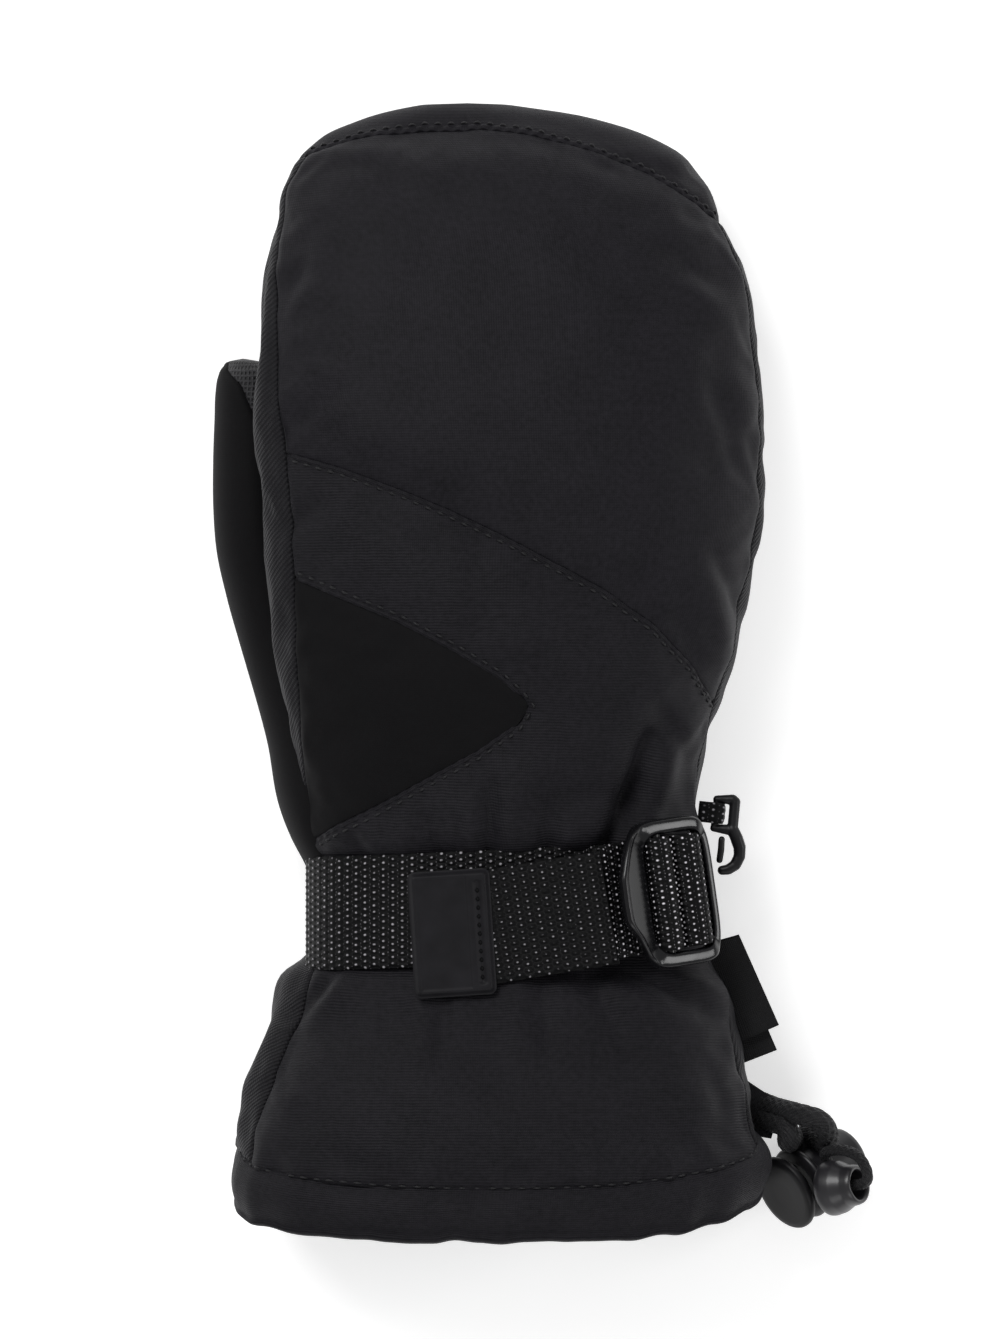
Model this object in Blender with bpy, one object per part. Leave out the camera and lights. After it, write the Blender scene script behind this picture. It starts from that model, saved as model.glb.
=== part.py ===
"""Padded ski mitten for a right hand, lying on its palm: +Y to the fingertips, +X to the little-finger side, +Z up through the back of the hand.

The outer shell is cut from separate fabric panels. Inside it are a wrist elastic, a waterproof insert, an insulation bag and a lining. A webbing strap
with a ladder-lock buckle closes the wrist, an elastic drawcord with a sprung cord lock closes the hem, and a plastic hook clips the pair together.
"""
import math
import bpy
import bmesh
import numpy as np
from mathutils import Matrix, Vector

MM = 0.001

# Driving dimensions, in millimetres.
WEBBING_WIDTH = 25.0
WEBBING_T = 1.2
STRAP_LIFT = 0.8         # strap above the shell
SHELL_T = 1.2            # shell fabric with its backing foam
ELASTIC = (1.9, 2.2)     # depths under the outer surface: wrist elastic
INSERT = (2.9, 3.35)     # waterproof insert
FILL = (4.2, 7.2)        # insulation
LINING = (8.4, 9.2)      # brushed lining
SEAM_GAP = 0.4           # between neighbouring panels
HEM_Y = -112.0           # stitch line of the hem on the back
WRIST_Y = -53.0          # seam between hand and cuff, under the strap
BAG_Y = -102.0           # the inner bags are sewn to the hem facing here
LAST_Y = 82.0            # the bags taper from here to their closed ends
CORD_D = 3.0
BUCKLE_TILT = 30.0       # the buckle lies on the shoulder of the wrist

# Body sections: y, left edge, right edge, top, bottom, widest height on the left and on the right, roundness of the lower left quarter.
STATIONS = [
    (-127, -59.0, 57.0, 57, -2.0, 27, 27, 2.4), (-114, -59.4, 57.6, 57, -2.0, 27, 27, 2.4), (-108, -57.5, 56.0, 56, -2.0, 27, 27, 2.4),
    (-92, -55.0, 54.6, 53, -1.5, 26, 26, 2.4), (-80, -51.5, 51.5, 50, -0.5, 26, 26, 2.4), (-67, -44.0, 46.5, 46.5, 4.0, 25, 25, 2.4),
    (-40, -43.5, 44.5, 46, 4.5, 25, 25, 2.4), (-30, -47.5, 43.0, 48.5, 1.5, 23, 25, 2.4), (-15, -52.5, 45.3, 52, -1.5, 21, 25, 2.4),
    (-5, -55.5, 48.5, 54, -2.5, 21, 25, 2.4), (4, -57.5, 51.2, 55, -2.5, 22, 25, 2.3), (11, -49.4, 53.2, 55.2, -2.5, 33, 25, 1.6),
    (24, -49.9, 55.7, 55, -2.5, 36, 25, 1.5), (48, -54.2, 56.4, 53, -2.5, 36, 25, 1.5), (68, -53.2, 55.2, 49.5, -2.0, 34, 24, 1.6),
    (86, -51.0, 52.8, 45, -1.5, 27, 22, 2.2), (100, -49.2, 47.5, 40, -0.5, 22, 21, 2.3), (110, -46.0, 39.0, 35, 1.5, 19, 19, 2.3),
    (118, -35.5, 26.0, 28.5, 5.0, 17, 17, 2.2), (123, -24.0, 9.0, 23.0, 9.5, 16, 16, 2.1), (125.5, -12.0, -3.0, 18.0, 14.0, 16, 16, 2.0)]
TABLE = np.array(STATIONS, float)

# Seams seen from above: x, y.
TIP_SEAM = [(-52, 111), (-44, 114.3), (-33, 117.2), (-18, 118.7), (-5, 118.7), (8, 117), (21.5, 113.8), (32.5, 110), (43.5, 103.3), (54, 95)]
BAND_SEAM = [(-58, 50), (-47, 47.2), (-35.6, 43.9), (-22.4, 39), (-11.4, 34.4), (-0.4, 29.2), (10.6, 23.4), (21.6, 17.5), (32.6, 9.8), (41.4, 1), (46.2, -6.7), (56, -16)]
INSERT_TOP = [(-58, 25), (-46, 20.1), (-37.8, 16.8), (-22.4, 10.4), (-11.4, 4.7), (-0.4, -1.9), (6.2, -7.8)]
INSERT_LOW = [(-58, -46), (-42.2, -38.6), (-35.6, -34.2), (-26.8, -29.8), (-15.8, -23.7), (-4.8, -17.7), (4, -11.6), (6.2, -7.8)]

for old in list(bpy.data.objects):
    bpy.data.objects.remove(old, do_unlink=True)
PARTS = bpy.data.collections.new("ski_mitten")
TOOLS = bpy.data.collections.new("cutters")
bpy.context.scene.collection.children.link(PARTS)
bpy.context.scene.collection.children.link(TOOLS)
MATERIALS = {}


def material(name, rgb, rough, metal=0.0):
    if name not in MATERIALS:
        m = bpy.data.materials.new(name)
        m.use_nodes = True
        p = m.node_tree.nodes["Principled BSDF"]
        p.inputs["Base Color"].default_value = (*rgb, 1)
        p.inputs["Roughness"].default_value = rough
        p.inputs["Metallic"].default_value = metal
        MATERIALS[name] = m
    return MATERIALS[name]


SHELL = material("shell_fabric", (0.016, 0.016, 0.019), 0.75)
SOFT = material("stretch_fabric", (0.009, 0.009, 0.010), 0.85)
GRIP = material("grip_fabric", (0.020, 0.020, 0.021), 0.55)
WEB = material("webbing", (0.014, 0.014, 0.015), 0.5)
RUBBER = material("rubber", (0.019, 0.018, 0.021), 0.55)
PLASTIC = material("black_plastic", (0.013, 0.013, 0.015), 0.28)
LINER = material("lining_fleece", (0.05, 0.05, 0.055), 0.95)
WHITE = material("fibre_fill", (0.75, 0.75, 0.73), 0.95)
FILM = material("membrane", (0.62, 0.64, 0.66), 0.6)
LABEL = material("woven_label", (0.011, 0.011, 0.012), 0.7)
CORD = material("elastic_cord", (0.012, 0.012, 0.013), 0.7)
STEEL = material("spring_steel", (0.56, 0.57, 0.58), 0.3, 1.0)


def spline(table, col, y):
    """Smooth curve through one column of the section table."""
    ys, vs = table[:, 0], table[:, col]
    slopes = np.gradient(vs, ys)
    y = np.clip(y, ys[0], ys[-1])
    i = np.clip(np.searchsorted(ys, y) - 1, 0, len(ys) - 2)
    h = ys[i + 1] - ys[i]
    t = (y - ys[i]) / h
    return ((1 + 2 * t) * (1 - t) ** 2 * vs[i] + t * (1 - t) ** 2 * h * slopes[i]
            + t * t * (3 - 2 * t) * vs[i + 1] + t * t * (t - 1) * h * slopes[i + 1])


def section(theta, y, depth=0.0, grow=0.0):
    """A point of the mitten's surface, depth mm under it. theta: 0 little-finger side, 90 back, 180 thumb side, 270 palm."""
    yy = y + max(0.0, depth) * max(0.0, min(1.0, (y - 60) / 50.0))
    xl, xr, top, low, ml, mr, nb = (spline(TABLE, k, yy) for k in range(1, 8))
    xl, xr, top = xl + depth, xr - depth, top - depth
    low = max(low, -2.5) + depth * 1.0
    c, s = math.cos(math.radians(theta)), math.sin(math.radians(theta))
    xc = (xl + xr) / 2
    a, m = (xr - xc, mr) if c >= 0 else (xc - xl, ml)
    m = min(max(m, low + 1), top - 1)
    n = 2.35 if s >= 0 else (nb if c < 0 else 2.5)
    x = xc + math.copysign(a * abs(c) ** (2 / n), c)
    z = m + (top - m) * abs(s) ** (2 / n) if s >= 0 else m - (m - low) * abs(s) ** (2 / n)
    return x, y, max(z, max(0.0, depth))


def line(points):
    p = np.array(points, float)
    return lambda x: float(np.interp(x, p[:, 0], p[:, 1]))


def seam_y(curve, theta, guess):
    """The y where a seam drawn from above meets the surface at this angle."""
    y = guess
    for _ in range(12):
        y = 0.5 * y + 0.5 * curve(section(theta, y)[0])
    return y


def add(name, mesh, mat, collection=PARTS):
    o = bpy.data.objects.new(name, mesh)
    collection.objects.link(o)
    mesh.materials.clear()
    mesh.materials.append(mat)
    return o


def closed(bm, name, mat, collection=PARTS, scale=MM):
    bmesh.ops.recalc_face_normals(bm, faces=bm.faces)
    bmesh.ops.scale(bm, vec=(scale,) * 3, verts=bm.verts)
    if bm.calc_volume(signed=True) < 0:
        bmesh.ops.reverse_faces(bm, faces=bm.faces)
    mesh = bpy.data.meshes.new(name)
    bm.to_mesh(mesh)
    bm.free()
    mesh.shade_smooth()
    mesh.set_sharp_from_angle(angle=math.radians(40))
    return add(name, mesh, mat, collection)


def layer(name, params, faces, outer, inner, mat, surface=section):
    """A sheet with thickness: the same net of (theta, y) at two depths, joined round its free edges."""
    faces = [tri for f in faces for tri in ([f[0], f[1], f[2]], [f[0], f[2], f[3]])] if len(faces[-1]) == 4 else [
        tri for f in faces[:-1] for tri in ([f[0], f[1], f[2]], [f[0], f[2], f[3]])] + [faces[-1]]
    bm = bmesh.new()
    top = [bm.verts.new(surface(t, y, outer)) for t, y in params]
    low = [bm.verts.new(surface(t, y, inner)) for t, y in params]
    for f in faces:
        bm.faces.new([top[k] for k in f])
        bm.faces.new([low[k] for k in reversed(f)])
    edges = {}
    for f in faces:
        for k, a in enumerate(f):
            b = f[(k + 1) % len(f)]
            edges[frozenset((a, b))] = None if frozenset((a, b)) in edges else (a, b)
    for pair in filter(None, edges.values()):
        a, b = pair
        bm.faces.new([top[b], top[a], low[a], low[b]])
    return closed(bm, name, mat)


def grid(cols, low, high, rows, ring=False, skip=lambda t, y: False):
    """A net of columns at the given angles, each with its own y limits, as (params, faces)."""
    params = [(t, low(t) + (high(t) - low(t)) * r / rows) for t in cols for r in range(rows + 1)]
    faces, n = [], rows + 1
    for c in range(len(cols) if ring else len(cols) - 1):
        d = (c + 1) % len(cols)
        for r in range(rows):
            mid = ((cols[c] + (cols[d] if d > c else cols[d] + 360)) / 2, (params[c * n + r][1] + params[c * n + r + 1][1]) / 2)
            if not skip(*mid):
                faces.append([c * n + r, d * n + r, d * n + r + 1, c * n + r + 1])
    return params, faces


def angles(a, b, n):
    return [a + (b - a) * k / n for k in range(n + 1)]


RIGHT, LEFT, PALM_L, PALM_R = 16.0, 148.0, 206.0, 344.0
GAP_T = 1.3
tip_line, band_line, top_line, low_line = line(TIP_SEAM), line(BAND_SEAM), line(INSERT_TOP), line(INSERT_LOW)


def tip_y(t):
    """The fingertip seam runs over the back, then round the sides to the palm."""
    t = t % 360
    if 5 <= t <= 165:
        return seam_y(tip_line, t, 110)
    a, b = seam_y(tip_line, 165, 110), seam_y(tip_line, 5, 110)
    u = (t - 165) / 200 if t > 165 else (t + 195) / 200
    return a + (b - a) * u - 6 * math.sin(math.pi * u)


def band_y(t):
    return seam_y(band_line, t, 20)


def in_thumb_hole(t, y):
    return 178 < t < 232 and 3.0 < y < 14.0


# Outer shell panels.
h = SEAM_GAP / 2
back_cols = angles(RIGHT + GAP_T, LEFT - GAP_T, 12)
layer("back_panel", *grid(back_cols, lambda t: band_y(t) + h, lambda t: tip_y(t) - h, 7), 0, SHELL_T, SHELL)

apex_t = 84.2
band_right, band_left = angles(RIGHT + GAP_T, apex_t, 6), angles(apex_t, LEFT - GAP_T, 6)
params, faces, index = [], [], {}
ROWS_LOW, ROWS_UP = 3, 3


def point(key, t, y):
    if key not in index:
        index[key] = len(params)
        params.append((t, y))
    return index[key]


def band_column(c, t, cut):
    lo, hi = WRIST_Y + h, band_y(t) - h
    if cut:
        a, b = seam_y(low_line, t, -20) - h, seam_y(top_line, t, 0) + h
    else:
        share = (-7.8 - lo) / (band_y(apex_t) - h - lo)
        a = b = -7.8 if t >= apex_t - 1 else lo + (hi - lo) * share
    low = [point((c, "l", r), t, lo + (a - lo) * r / ROWS_LOW) for r in range(ROWS_LOW + 1)]
    up = [point((c, "u", r), t, b + (hi - b) * r / ROWS_UP) for r in range(1, ROWS_UP + 1)]
    first = point((c, "u", 0), t, b) if cut else low[-1]
    return low, [first, *up]


columns = [band_column(c, t, False) for c, t in enumerate(band_right)]
columns += [band_column(100 + c, t, True) for c, t in enumerate(band_left) if c > 0]
for (la, ua), (lb, ub) in zip(columns, columns[1:]):
    for p, q in ((la, lb), (ua, ub)):
        for r in range(len(p) - 1):
            faces.append([p[r], q[r], q[r + 1], p[r + 1]])
layer("knuckle_band_panel", params, faces, 0, SHELL_T, SHELL)

near = 0.3
insert_cols = [band_left[0] + near * (band_left[1] - band_left[0]), *band_left[1:]]


def insert_low(t):
    if t < band_left[1] - 0.01:
        return -7.8 + near * (seam_y(low_line, band_left[1], -20) - h + 7.8) + 3.5 * h
    return seam_y(low_line, t, -20) + 2.2 * h


def insert_top(t):
    if t < band_left[1] - 0.01:
        return -7.8 + near * (seam_y(top_line, band_left[1], 0) + h + 7.8) - 3.5 * h
    return seam_y(top_line, t, 0) - 2.2 * h


layer("stretch_insert", *grid(insert_cols, insert_low, insert_top, 10), 0.15, SHELL_T, SOFT)

LEVELS = [-46, -40, -28, -15, -5, 3, 14, 26, 40, 55, 70, 82]


def side_net(cols):
    """Side and palm panels share their rows with the bags inside them."""
    rows = [[WRIST_Y + h, *LEVELS] + [82 + (tip_y(t) - h - 82) * k / 3 for k in (1, 2, 3)] for t in cols]
    n = len(rows[0])
    params = [(t, y) for t, col in zip(cols, rows) for y in col]
    faces = [[c * n + r, c * n + n + r, c * n + n + r + 1, c * n + r + 1] for c in range(len(cols) - 1) for r in range(n - 1)
             if not in_thumb_hole((cols[c] + cols[c + 1]) / 2, (params[c * n + r][1] + params[c * n + r + 1][1]) / 2)]
    return params, faces


layer("thumb_side_gusset", *side_net(angles(LEFT + GAP_T, PALM_L - GAP_T, 4)), 0.1, SHELL_T, SHELL)
layer("outer_side_gusset", *side_net(angles(PALM_R + GAP_T, 360 + RIGHT - GAP_T, 3)), 0.1, SHELL_T, SHELL)
layer("palm_panel", *side_net(angles(PALM_L + GAP_T, PALM_R - GAP_T, 10)), 0, SHELL_T, GRIP)


def hem_end(t):
    """Free edge of the cuff: lowest on the back, higher at the sides."""
    s = math.sin(math.radians(t))
    return -125.3 + 7.5 * (1 - abs(s)) + (2.5 if s < 0 else 0)


def hem_top(t):
    s = math.sin(math.radians(t))
    return HEM_Y - 2.0 + 7.0 * (1 - abs(s)) + (3 if s < 0 else 0)


layer("cuff_back_panel", *grid(angles(RIGHT + GAP_T, LEFT - GAP_T, 10), lambda t: hem_top(t) + h, lambda t: WRIST_Y - h, 7), 0, SHELL_T, SHELL)
layer("cuff_palm_panel", *grid(angles(LEFT + GAP_T, 360 + RIGHT - GAP_T, 18), lambda t: hem_top(t) + h, lambda t: WRIST_Y - h, 7), 0, SHELL_T, SHELL)
ring = angles(0, 360, 24)[:-1]
layer("hem_outer", *grid(ring, hem_end, lambda t: hem_top(t) - h, 2, ring=True), 0, SHELL_T, SHELL)
layer("hem_facing", *grid(ring, lambda t: hem_end(t) + 0.6, lambda t: hem_top(t) - h, 2, ring=True), 4.4, 5.4, SHELL)


# Fingertip panel: it wraps over the ends of the fingers. Its inside face ends one thickness short of the tip.
def tip_surface(t, y, depth):
    x, yy, z = section(t, y, depth)
    return x, y - depth * max(0.0, (y - 118) / 7.5), z


params, faces = grid(ring, lambda t: tip_y(t) + h + 0.25, lambda t: 125.5, 4, ring=True)
faces.append([c * 5 + 4 for c in range(len(ring))])
layer("fingertip_panel", params, faces, 0, SHELL_T, SHELL, surface=lambda t, y, d: tip_surface(t, y, d) if d == 0 else
               tuple(np.array(section(t, min(y, 124.0), 0)) + (np.array((-7.5, 122.0, 16.5)) - np.array(section(t, min(y, 124.0), 0))) * (SHELL_T / 17.0) * (1 + 1.2 * max(0, (y - 112) / 13.5))))

# Inner bags. Their columns match the shell's, and they stop short of the tip where they would run out of room.
for name, (outer, inner), end, mat in (("waterproof_insert", INSERT, 118.5, FILM), ("insulation", FILL, 115.5, WHITE), ("lining", LINING, 103.0, LINER)):
    wall = inner - outer
    rows = [BAG_Y, -85, -67, -60, -53, -46, -40, -28, -15, -5, 3, 14, 26, 40, 55, 70, LAST_Y] + [LAST_Y + (end - LAST_Y) * k / 4 for k in (1, 2, 3, 4)]
    n = len(rows)
    params = [(t, y) for t in ring for y in rows]
    faces = [[c * n + r, (c + 1) % 24 * n + r, (c + 1) % 24 * n + r + 1, c * n + r + 1] for c in range(24) for r in range(n - 1)
             if not in_thumb_hole(ring[c] + 7.5, (rows[r] + rows[r + 1]) / 2)]
    faces.append([c * n + n - 1 for c in range(24)])
    layer(name, params, faces, outer, inner, mat, surface=lambda t, y, d, o=outer, e=end, w=wall: section(
        t, y if d == o or y <= LAST_Y else LAST_Y + (y - LAST_Y) * (e - w - LAST_Y) / (e - LAST_Y), d))
layer("wrist_elastic", *grid(ring, lambda t: -58.0, lambda t: -48.0, 2, ring=True), *ELASTIC, WEB)


# Hem drawcord, in the channel between the hem and its facing.
def tube(name, points, radius, mat, resolution=3, caps=True):
    """A round cord along a list of points."""
    curve = bpy.data.curves.new(name, "CURVE")
    curve.dimensions = "3D"
    curve.bevel_depth = radius * MM
    curve.bevel_resolution = resolution
    curve.use_fill_caps = caps
    sp = curve.splines.new("POLY")
    sp.points.add(len(points) - 1)
    for p, q in zip(sp.points, points):
        p.co = (*(Vector(q) * MM), 1)
    o = bpy.data.objects.new(name, curve)
    PARTS.objects.link(o)
    curve.materials.append(mat)
    return o


def smooth(points, n=4):
    """A rounded path through the points."""
    p = [Vector(q) for q in points]
    out = []
    for k in range(len(p) - 1):
        a, b, c, d = p[max(k - 1, 0)], p[k], p[k + 1], p[min(k + 2, len(p) - 1)]
        for j in range(n):
            t = j / n
            out.append(0.5 * (2 * b + (c - a) * t + (2 * a - 5 * b + 4 * c - d) * t * t + (3 * b - a - 3 * c + d) * t ** 3))
    return out + [p[-1]]


def strip(name, path, low, high, thick, mat, frame=Matrix()):
    """Webbing seen edge on: a band of even thickness following a path in its x-z plane, from low to high in y."""
    p = [Vector((x, 0, z)) for x, z in path]
    sides = []
    for k, q in enumerate(p):
        d = (p[min(k + 1, len(p) - 1)] - p[max(k - 1, 0)]).normalized()
        sides.append(Vector((-d.z, 0, d.x)) * thick / 2)
    bm = bmesh.new()
    rows = [[bm.verts.new(frame @ Vector((v.x, y, v.z))) for v in (q + s, q - s) for y in (low, high)] for q, s in zip(p, sides)]
    for a, b in zip(rows, rows[1:]):
        for i, j in ((0, 1), (1, 3), (3, 2), (2, 0)):
            bm.faces.new([a[i], a[j], b[j], b[i]])
    for end in (rows[0], rows[-1]):
        bm.faces.new([end[0], end[1], end[3], end[2]])
    return closed(bm, name, mat)


def plate(name, outline, z0, z1, mat, frame=Matrix(), collection=PARTS):
    bm = bmesh.new()
    a = [bm.verts.new(frame @ Vector((x, y, z0))) for x, y in outline]
    b = [bm.verts.new(frame @ Vector((x, y, z1))) for x, y in outline]
    n = len(outline)
    bm.faces.new(a)
    bm.faces.new(b)
    for k in range(n):
        bm.faces.new([a[k], a[(k + 1) % n], b[(k + 1) % n], b[k]])
    return closed(bm, name, mat, collection)


def turned(name, profile, mat, frame, steps=20, collection=PARTS):
    """A body of revolution about its own z: profile of (radius, height), starting and ending on the axis."""
    bm = bmesh.new()
    verts = [bm.verts.new((r, 0, z)) for r, z in profile]
    edges = [bm.edges.new(pair) for pair in zip(verts, verts[1:])]
    bmesh.ops.spin(bm, geom=verts + edges, axis=(0, 0, 1), cent=(0, 0, 0), steps=steps, angle=2 * math.pi)
    bmesh.ops.remove_doubles(bm, verts=bm.verts, dist=0.001)
    bmesh.ops.dissolve_degenerate(bm, edges=bm.edges, dist=0.001)
    bmesh.ops.transform(bm, matrix=frame, verts=bm.verts)
    return closed(bm, name, mat, collection)


def box(name, a, b, mat, frame=Matrix(), collection=PARTS):
    return plate(name, [(a[0], a[1]), (b[0], a[1]), (b[0], b[1]), (a[0], b[1])], a[2], b[2], mat, frame, collection)


def combine(target, tool, operation):
    m = target.modifiers.new(operation.lower(), "BOOLEAN")
    m.operation = operation
    m.solver = "EXACT"
    m.object = tool
    tool.hide_render = True
    tool.display_type = "WIRE"
    return target


tube("hem_drawcord", [section(t, hem_end(t) + 4.0, 2.8) for t in angles(8, 352, 43)], 1.0, CORD, 2)

# Thumb: a stall beside the hand, hinged where it meets the palm.
THUMB = np.array([(10, -51.4, 8.6, 11.5, 13.5), (18, -52.8, 9.2, 12.3, 14), (34, -54.6, 9.6, 12.6, 14), (48, -55.6, 9.5, 12.4, 14), (58, -55.3, 9.0, 11.6, 14),
                  (63, -54.8, 7.4, 9.6, 14), (66, -54.4, 4.8, 6.4, 14), (67.5, -54.2, 2.2, 3.0, 14)], float)


def thumb_surface(t, y, depth):
    """Thumb section: the inner surfaces are the outer one drawn in towards the axis and shortened at the tip."""
    yy = 10 + (y - 10) * (57.5 - depth) / 57.5
    x0, a, b, z0 = (float(np.interp(y, THUMB[:, 0], THUMB[:, k])) for k in range(1, 5))
    k = max(0.12, 1 - depth / a) if a > 6 else max(0.12, 1 - depth / 7.4)
    m = max(0.12, 1 - depth / b) if b > 8 else max(0.12, 1 - depth / 9.6)
    return x0 + a * k * math.cos(math.radians(t)), yy, z0 + b * m * math.sin(math.radians(t))


def thumb_net(cols, ring=False):
    rows = list(THUMB[:, 0])
    params = [(t, y) for t in cols for y in rows]
    n, faces = len(rows), []
    for c in range(len(cols) if ring else len(cols) - 1):
        d = (c + 1) % len(cols)
        faces += [[c * n + r, d * n + r, d * n + r + 1, c * n + r + 1] for r in range(n - 1)]
    if ring:
        faces.append([c * n + n - 1 for c in range(len(cols))])
    return params, faces


layer("thumb_back", *thumb_net(angles(119, 296, 7)), 0, 1.2, SOFT, thumb_surface)
layer("thumb_grip", *thumb_net(angles(-61, 116, 7)), 0, 1.2, GRIP, thumb_surface)
small_ring = angles(0, 360, 14)[:-1]
layer("thumb_insulation", *thumb_net(small_ring, True), 1.7, 3.6, WHITE, thumb_surface)
layer("thumb_lining", *thumb_net(small_ring, True), 4.0, 4.8, LINER, thumb_surface)

# Wrist strap, from the thumb side over the back to the buckle.
STRAP_Y = -53.8
half = WEBBING_WIDTH / 2
layer("wrist_strap", *grid(angles(69.5, 168, 14), lambda t: STRAP_Y - half, lambda t: STRAP_Y + half, 3), -STRAP_LIFT - WEBBING_T, -STRAP_LIFT, WEB)

# Ladder-lock buckle: its own x runs from the anchor bar to the lifting lip.
YAW = math.radians(8)
BUCKLE_AT = Vector((46.0, -47.6, 41.4))
tilt = math.radians(BUCKLE_TILT)
ex = Vector((-math.cos(tilt) * math.cos(YAW), -math.cos(tilt) * math.sin(YAW), math.sin(tilt)))
ey = Vector((math.sin(YAW), -math.cos(YAW), 0))
ez = ex.cross(ey)
BUCKLE = Matrix.Translation(BUCKLE_AT) @ Matrix((ex, ey, ez)).transposed().to_4x4()
rail_out, rail_in = 16.4, 13.2
frame_outline = [(-1.8, -rail_out + 1), (-1.2, -rail_out), (18, -rail_out), (21, -rail_out + 1), (22.5, -12.5), (23.2, -10), (25.0, -7), (25.6, -3),
                 (25.6, 3), (25.0, 7), (23.2, 10), (22.5, 12.5), (21, rail_out - 1), (18, rail_out), (-1.2, rail_out), (-1.8, rail_out - 1)]
buckle = plate("buckle_frame", frame_outline, -2.0, 2.4, PLASTIC, BUCKLE)
for name, x0, x1, z0, z1 in (("buckle_slot_near", 1.6, 10.2, -3, 4), ("buckle_slot_far", 13.6, 18.4, -3, 4)):
    combine(buckle, box(name, (x0, -rail_in, z0), (x1, rail_in, z1), PLASTIC, BUCKLE, TOOLS), "DIFFERENCE")
combine(buckle, box("buckle_lip_relief", (18.0, -rail_in, -3.0), (27, rail_in, -0.6), PLASTIC, BUCKLE, TOOLS), "DIFFERENCE")
fold = [(25.6, -1.75), (20, -1.7), (17.4, -1.3), (16.3, 0.9), (15.2, 2.8), (13.2, 3.7), (10.8, 3.6), (9.1, 2.7), (8.5, 1.0), (8.6, -1.2), (9.3, -3.2), (12, -4.2), (19, -5.6), (25.4, -6.8)]
strip("strap_fold", fold, -half, half, WEBBING_T, WEB, BUCKLE)
strip("buckle_anchor_loop", [(-4.8, -9.0), (-4.0, -4.0), (-3.9, 1.4), (-3.4, 3.2), (-1.7, 4.4), (1.2, 4.2)], -11.5, 11.5, 1.0, WEB, BUCKLE)

# Strap tail, folded back over the strap, and its rubber pull tab.
TAIL_YAW = math.radians(9.5)
TAIL = Matrix.Translation((23.0, -52.0, 0)) @ Matrix.Rotation(TAIL_YAW, 4, "Z")
tail_path = [(-0.6, 53.0), (-6, 52.4), (-14, 51.4), (-22, 50.6), (-30, 50.4)]
strip("strap_tail", tail_path, -half, half, WEBBING_T, WEB, TAIL)
tab = plate("pull_tab", [(-44.5, -13.6), (-43.4, -14.8), (-25.0, -14.8), (-24.2, -13.8), (-24.2, 13.8), (-25.0, 14.8), (-43.4, 14.8), (-44.5, 13.6)], 48.6, 52.6, RUBBER, TAIL)
combine(tab, box("tab_pocket", (-30.5, -half - 0.4, 49.35), (-20.0, half + 0.4, 51.5), RUBBER, TAIL, TOOLS), "DIFFERENCE")

# Labels in the outer side seam.
plate("care_label", [(46.3, -59.0), (51.8, -58.4), (60.6, -78.2), (53.6, -81.0), (48.6, -68.0)], 23.2, 23.7, LABEL)
plate("size_label", [(50.6, -73.4), (57.2, -76.6), (60.4, -83.6), (54.8, -86.0)], 21.4, 21.9, LABEL)

# Cord exit tab at the hem, the two cord strands, the cord lock and the cord end.
plate("cord_exit_tab", [(55.8, -91.2), (61.8, -95.2), (59.6, -103.2), (57.4, -102.0)], 17.4, 19.0, WEB)
LOCK_AT = Vector((62.6, -116.0, 17.6))
down, head = math.radians(33), math.radians(30)
lz = Vector((math.cos(down) * math.cos(head), math.cos(down) * math.sin(head), -math.sin(down)))
ly = Vector((-math.sin(head), math.cos(head), 0))
lx = ly.cross(lz)
LOCK = Matrix.Translation(LOCK_AT) @ Matrix((lx, ly, lz)).transposed().to_4x4()
body = turned("cord_lock_body", [(0, 21), (5.6, 21), (6.3, 20.3), (6.3, 6.8), (7.4, 6.6), (7.4, 5.4), (7.2, 5.2), (4.9, 5.2), (4.9, 20), (0, 20)], PLASTIC, LOCK)
combine(body, box("lock_window", (-2.6, -9, 7.8), (2.6, 9, 16.3), PLASTIC, LOCK, TOOLS), "DIFFERENCE")
plunger = turned("cord_lock_plunger", [(0, 0), (7.2, 0), (8.0, 0.5), (8.0, 1.7), (7.2, 2.2), (4.6, 2.2), (4.6, 16.8), (0, 16.8)], PLASTIC, LOCK)
combine(plunger, box("plunger_slot", (-2.5, -9, 5.2), (2.5, 9, 16.0), PLASTIC, LOCK, TOOLS), "DIFFERENCE")
turns, wire = 2.0, 0.45
tube("cord_lock_spring", [LOCK @ Vector((3.6 * math.cos(a), 3.6 * math.sin(a), 17.35 + 2.1 * a / (2 * math.pi * turns))) for a in np.linspace(0, 2 * math.pi * turns, 33)], wire, STEEL, 2)
r = CORD_D / 2
tube("drawcord_long", smooth([(61.5, -96.6, 21.4), (66.0, -94.6, 24), (71.2, -96.0, 25), (74.3, -100.6, 21), (72.6, -103.6, 15.5), LOCK @ Vector((0, 9.0, 13.9)), LOCK @ Vector((0, 6.0, 13.9)), LOCK @ Vector((0, 1.0, 13.9))]), r, CORD, 3)
tube("drawcord_short", smooth([(60.2, -99.2, 22.4), (62.6, -101.2, 23.5), (64.0, -104.4, 20), LOCK @ Vector((0, 9.0, 10.2)), LOCK @ Vector((0, 6.0, 10.2)), LOCK @ Vector((0, 1.0, 10.2))]), r, CORD, 3)
BELL_A, BELL_B = Vector((73.2, -114.4, 26.0)), Vector((81.8, -116.0, 24.0))
bz = (BELL_B - BELL_A).normalized()
bx = bz.cross(Vector((0, 0, 1))).normalized()
BELL = Matrix.Translation(BELL_A) @ Matrix((bx, bz.cross(bx), bz)).transposed().to_4x4()
length = (BELL_B - BELL_A).length
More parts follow.
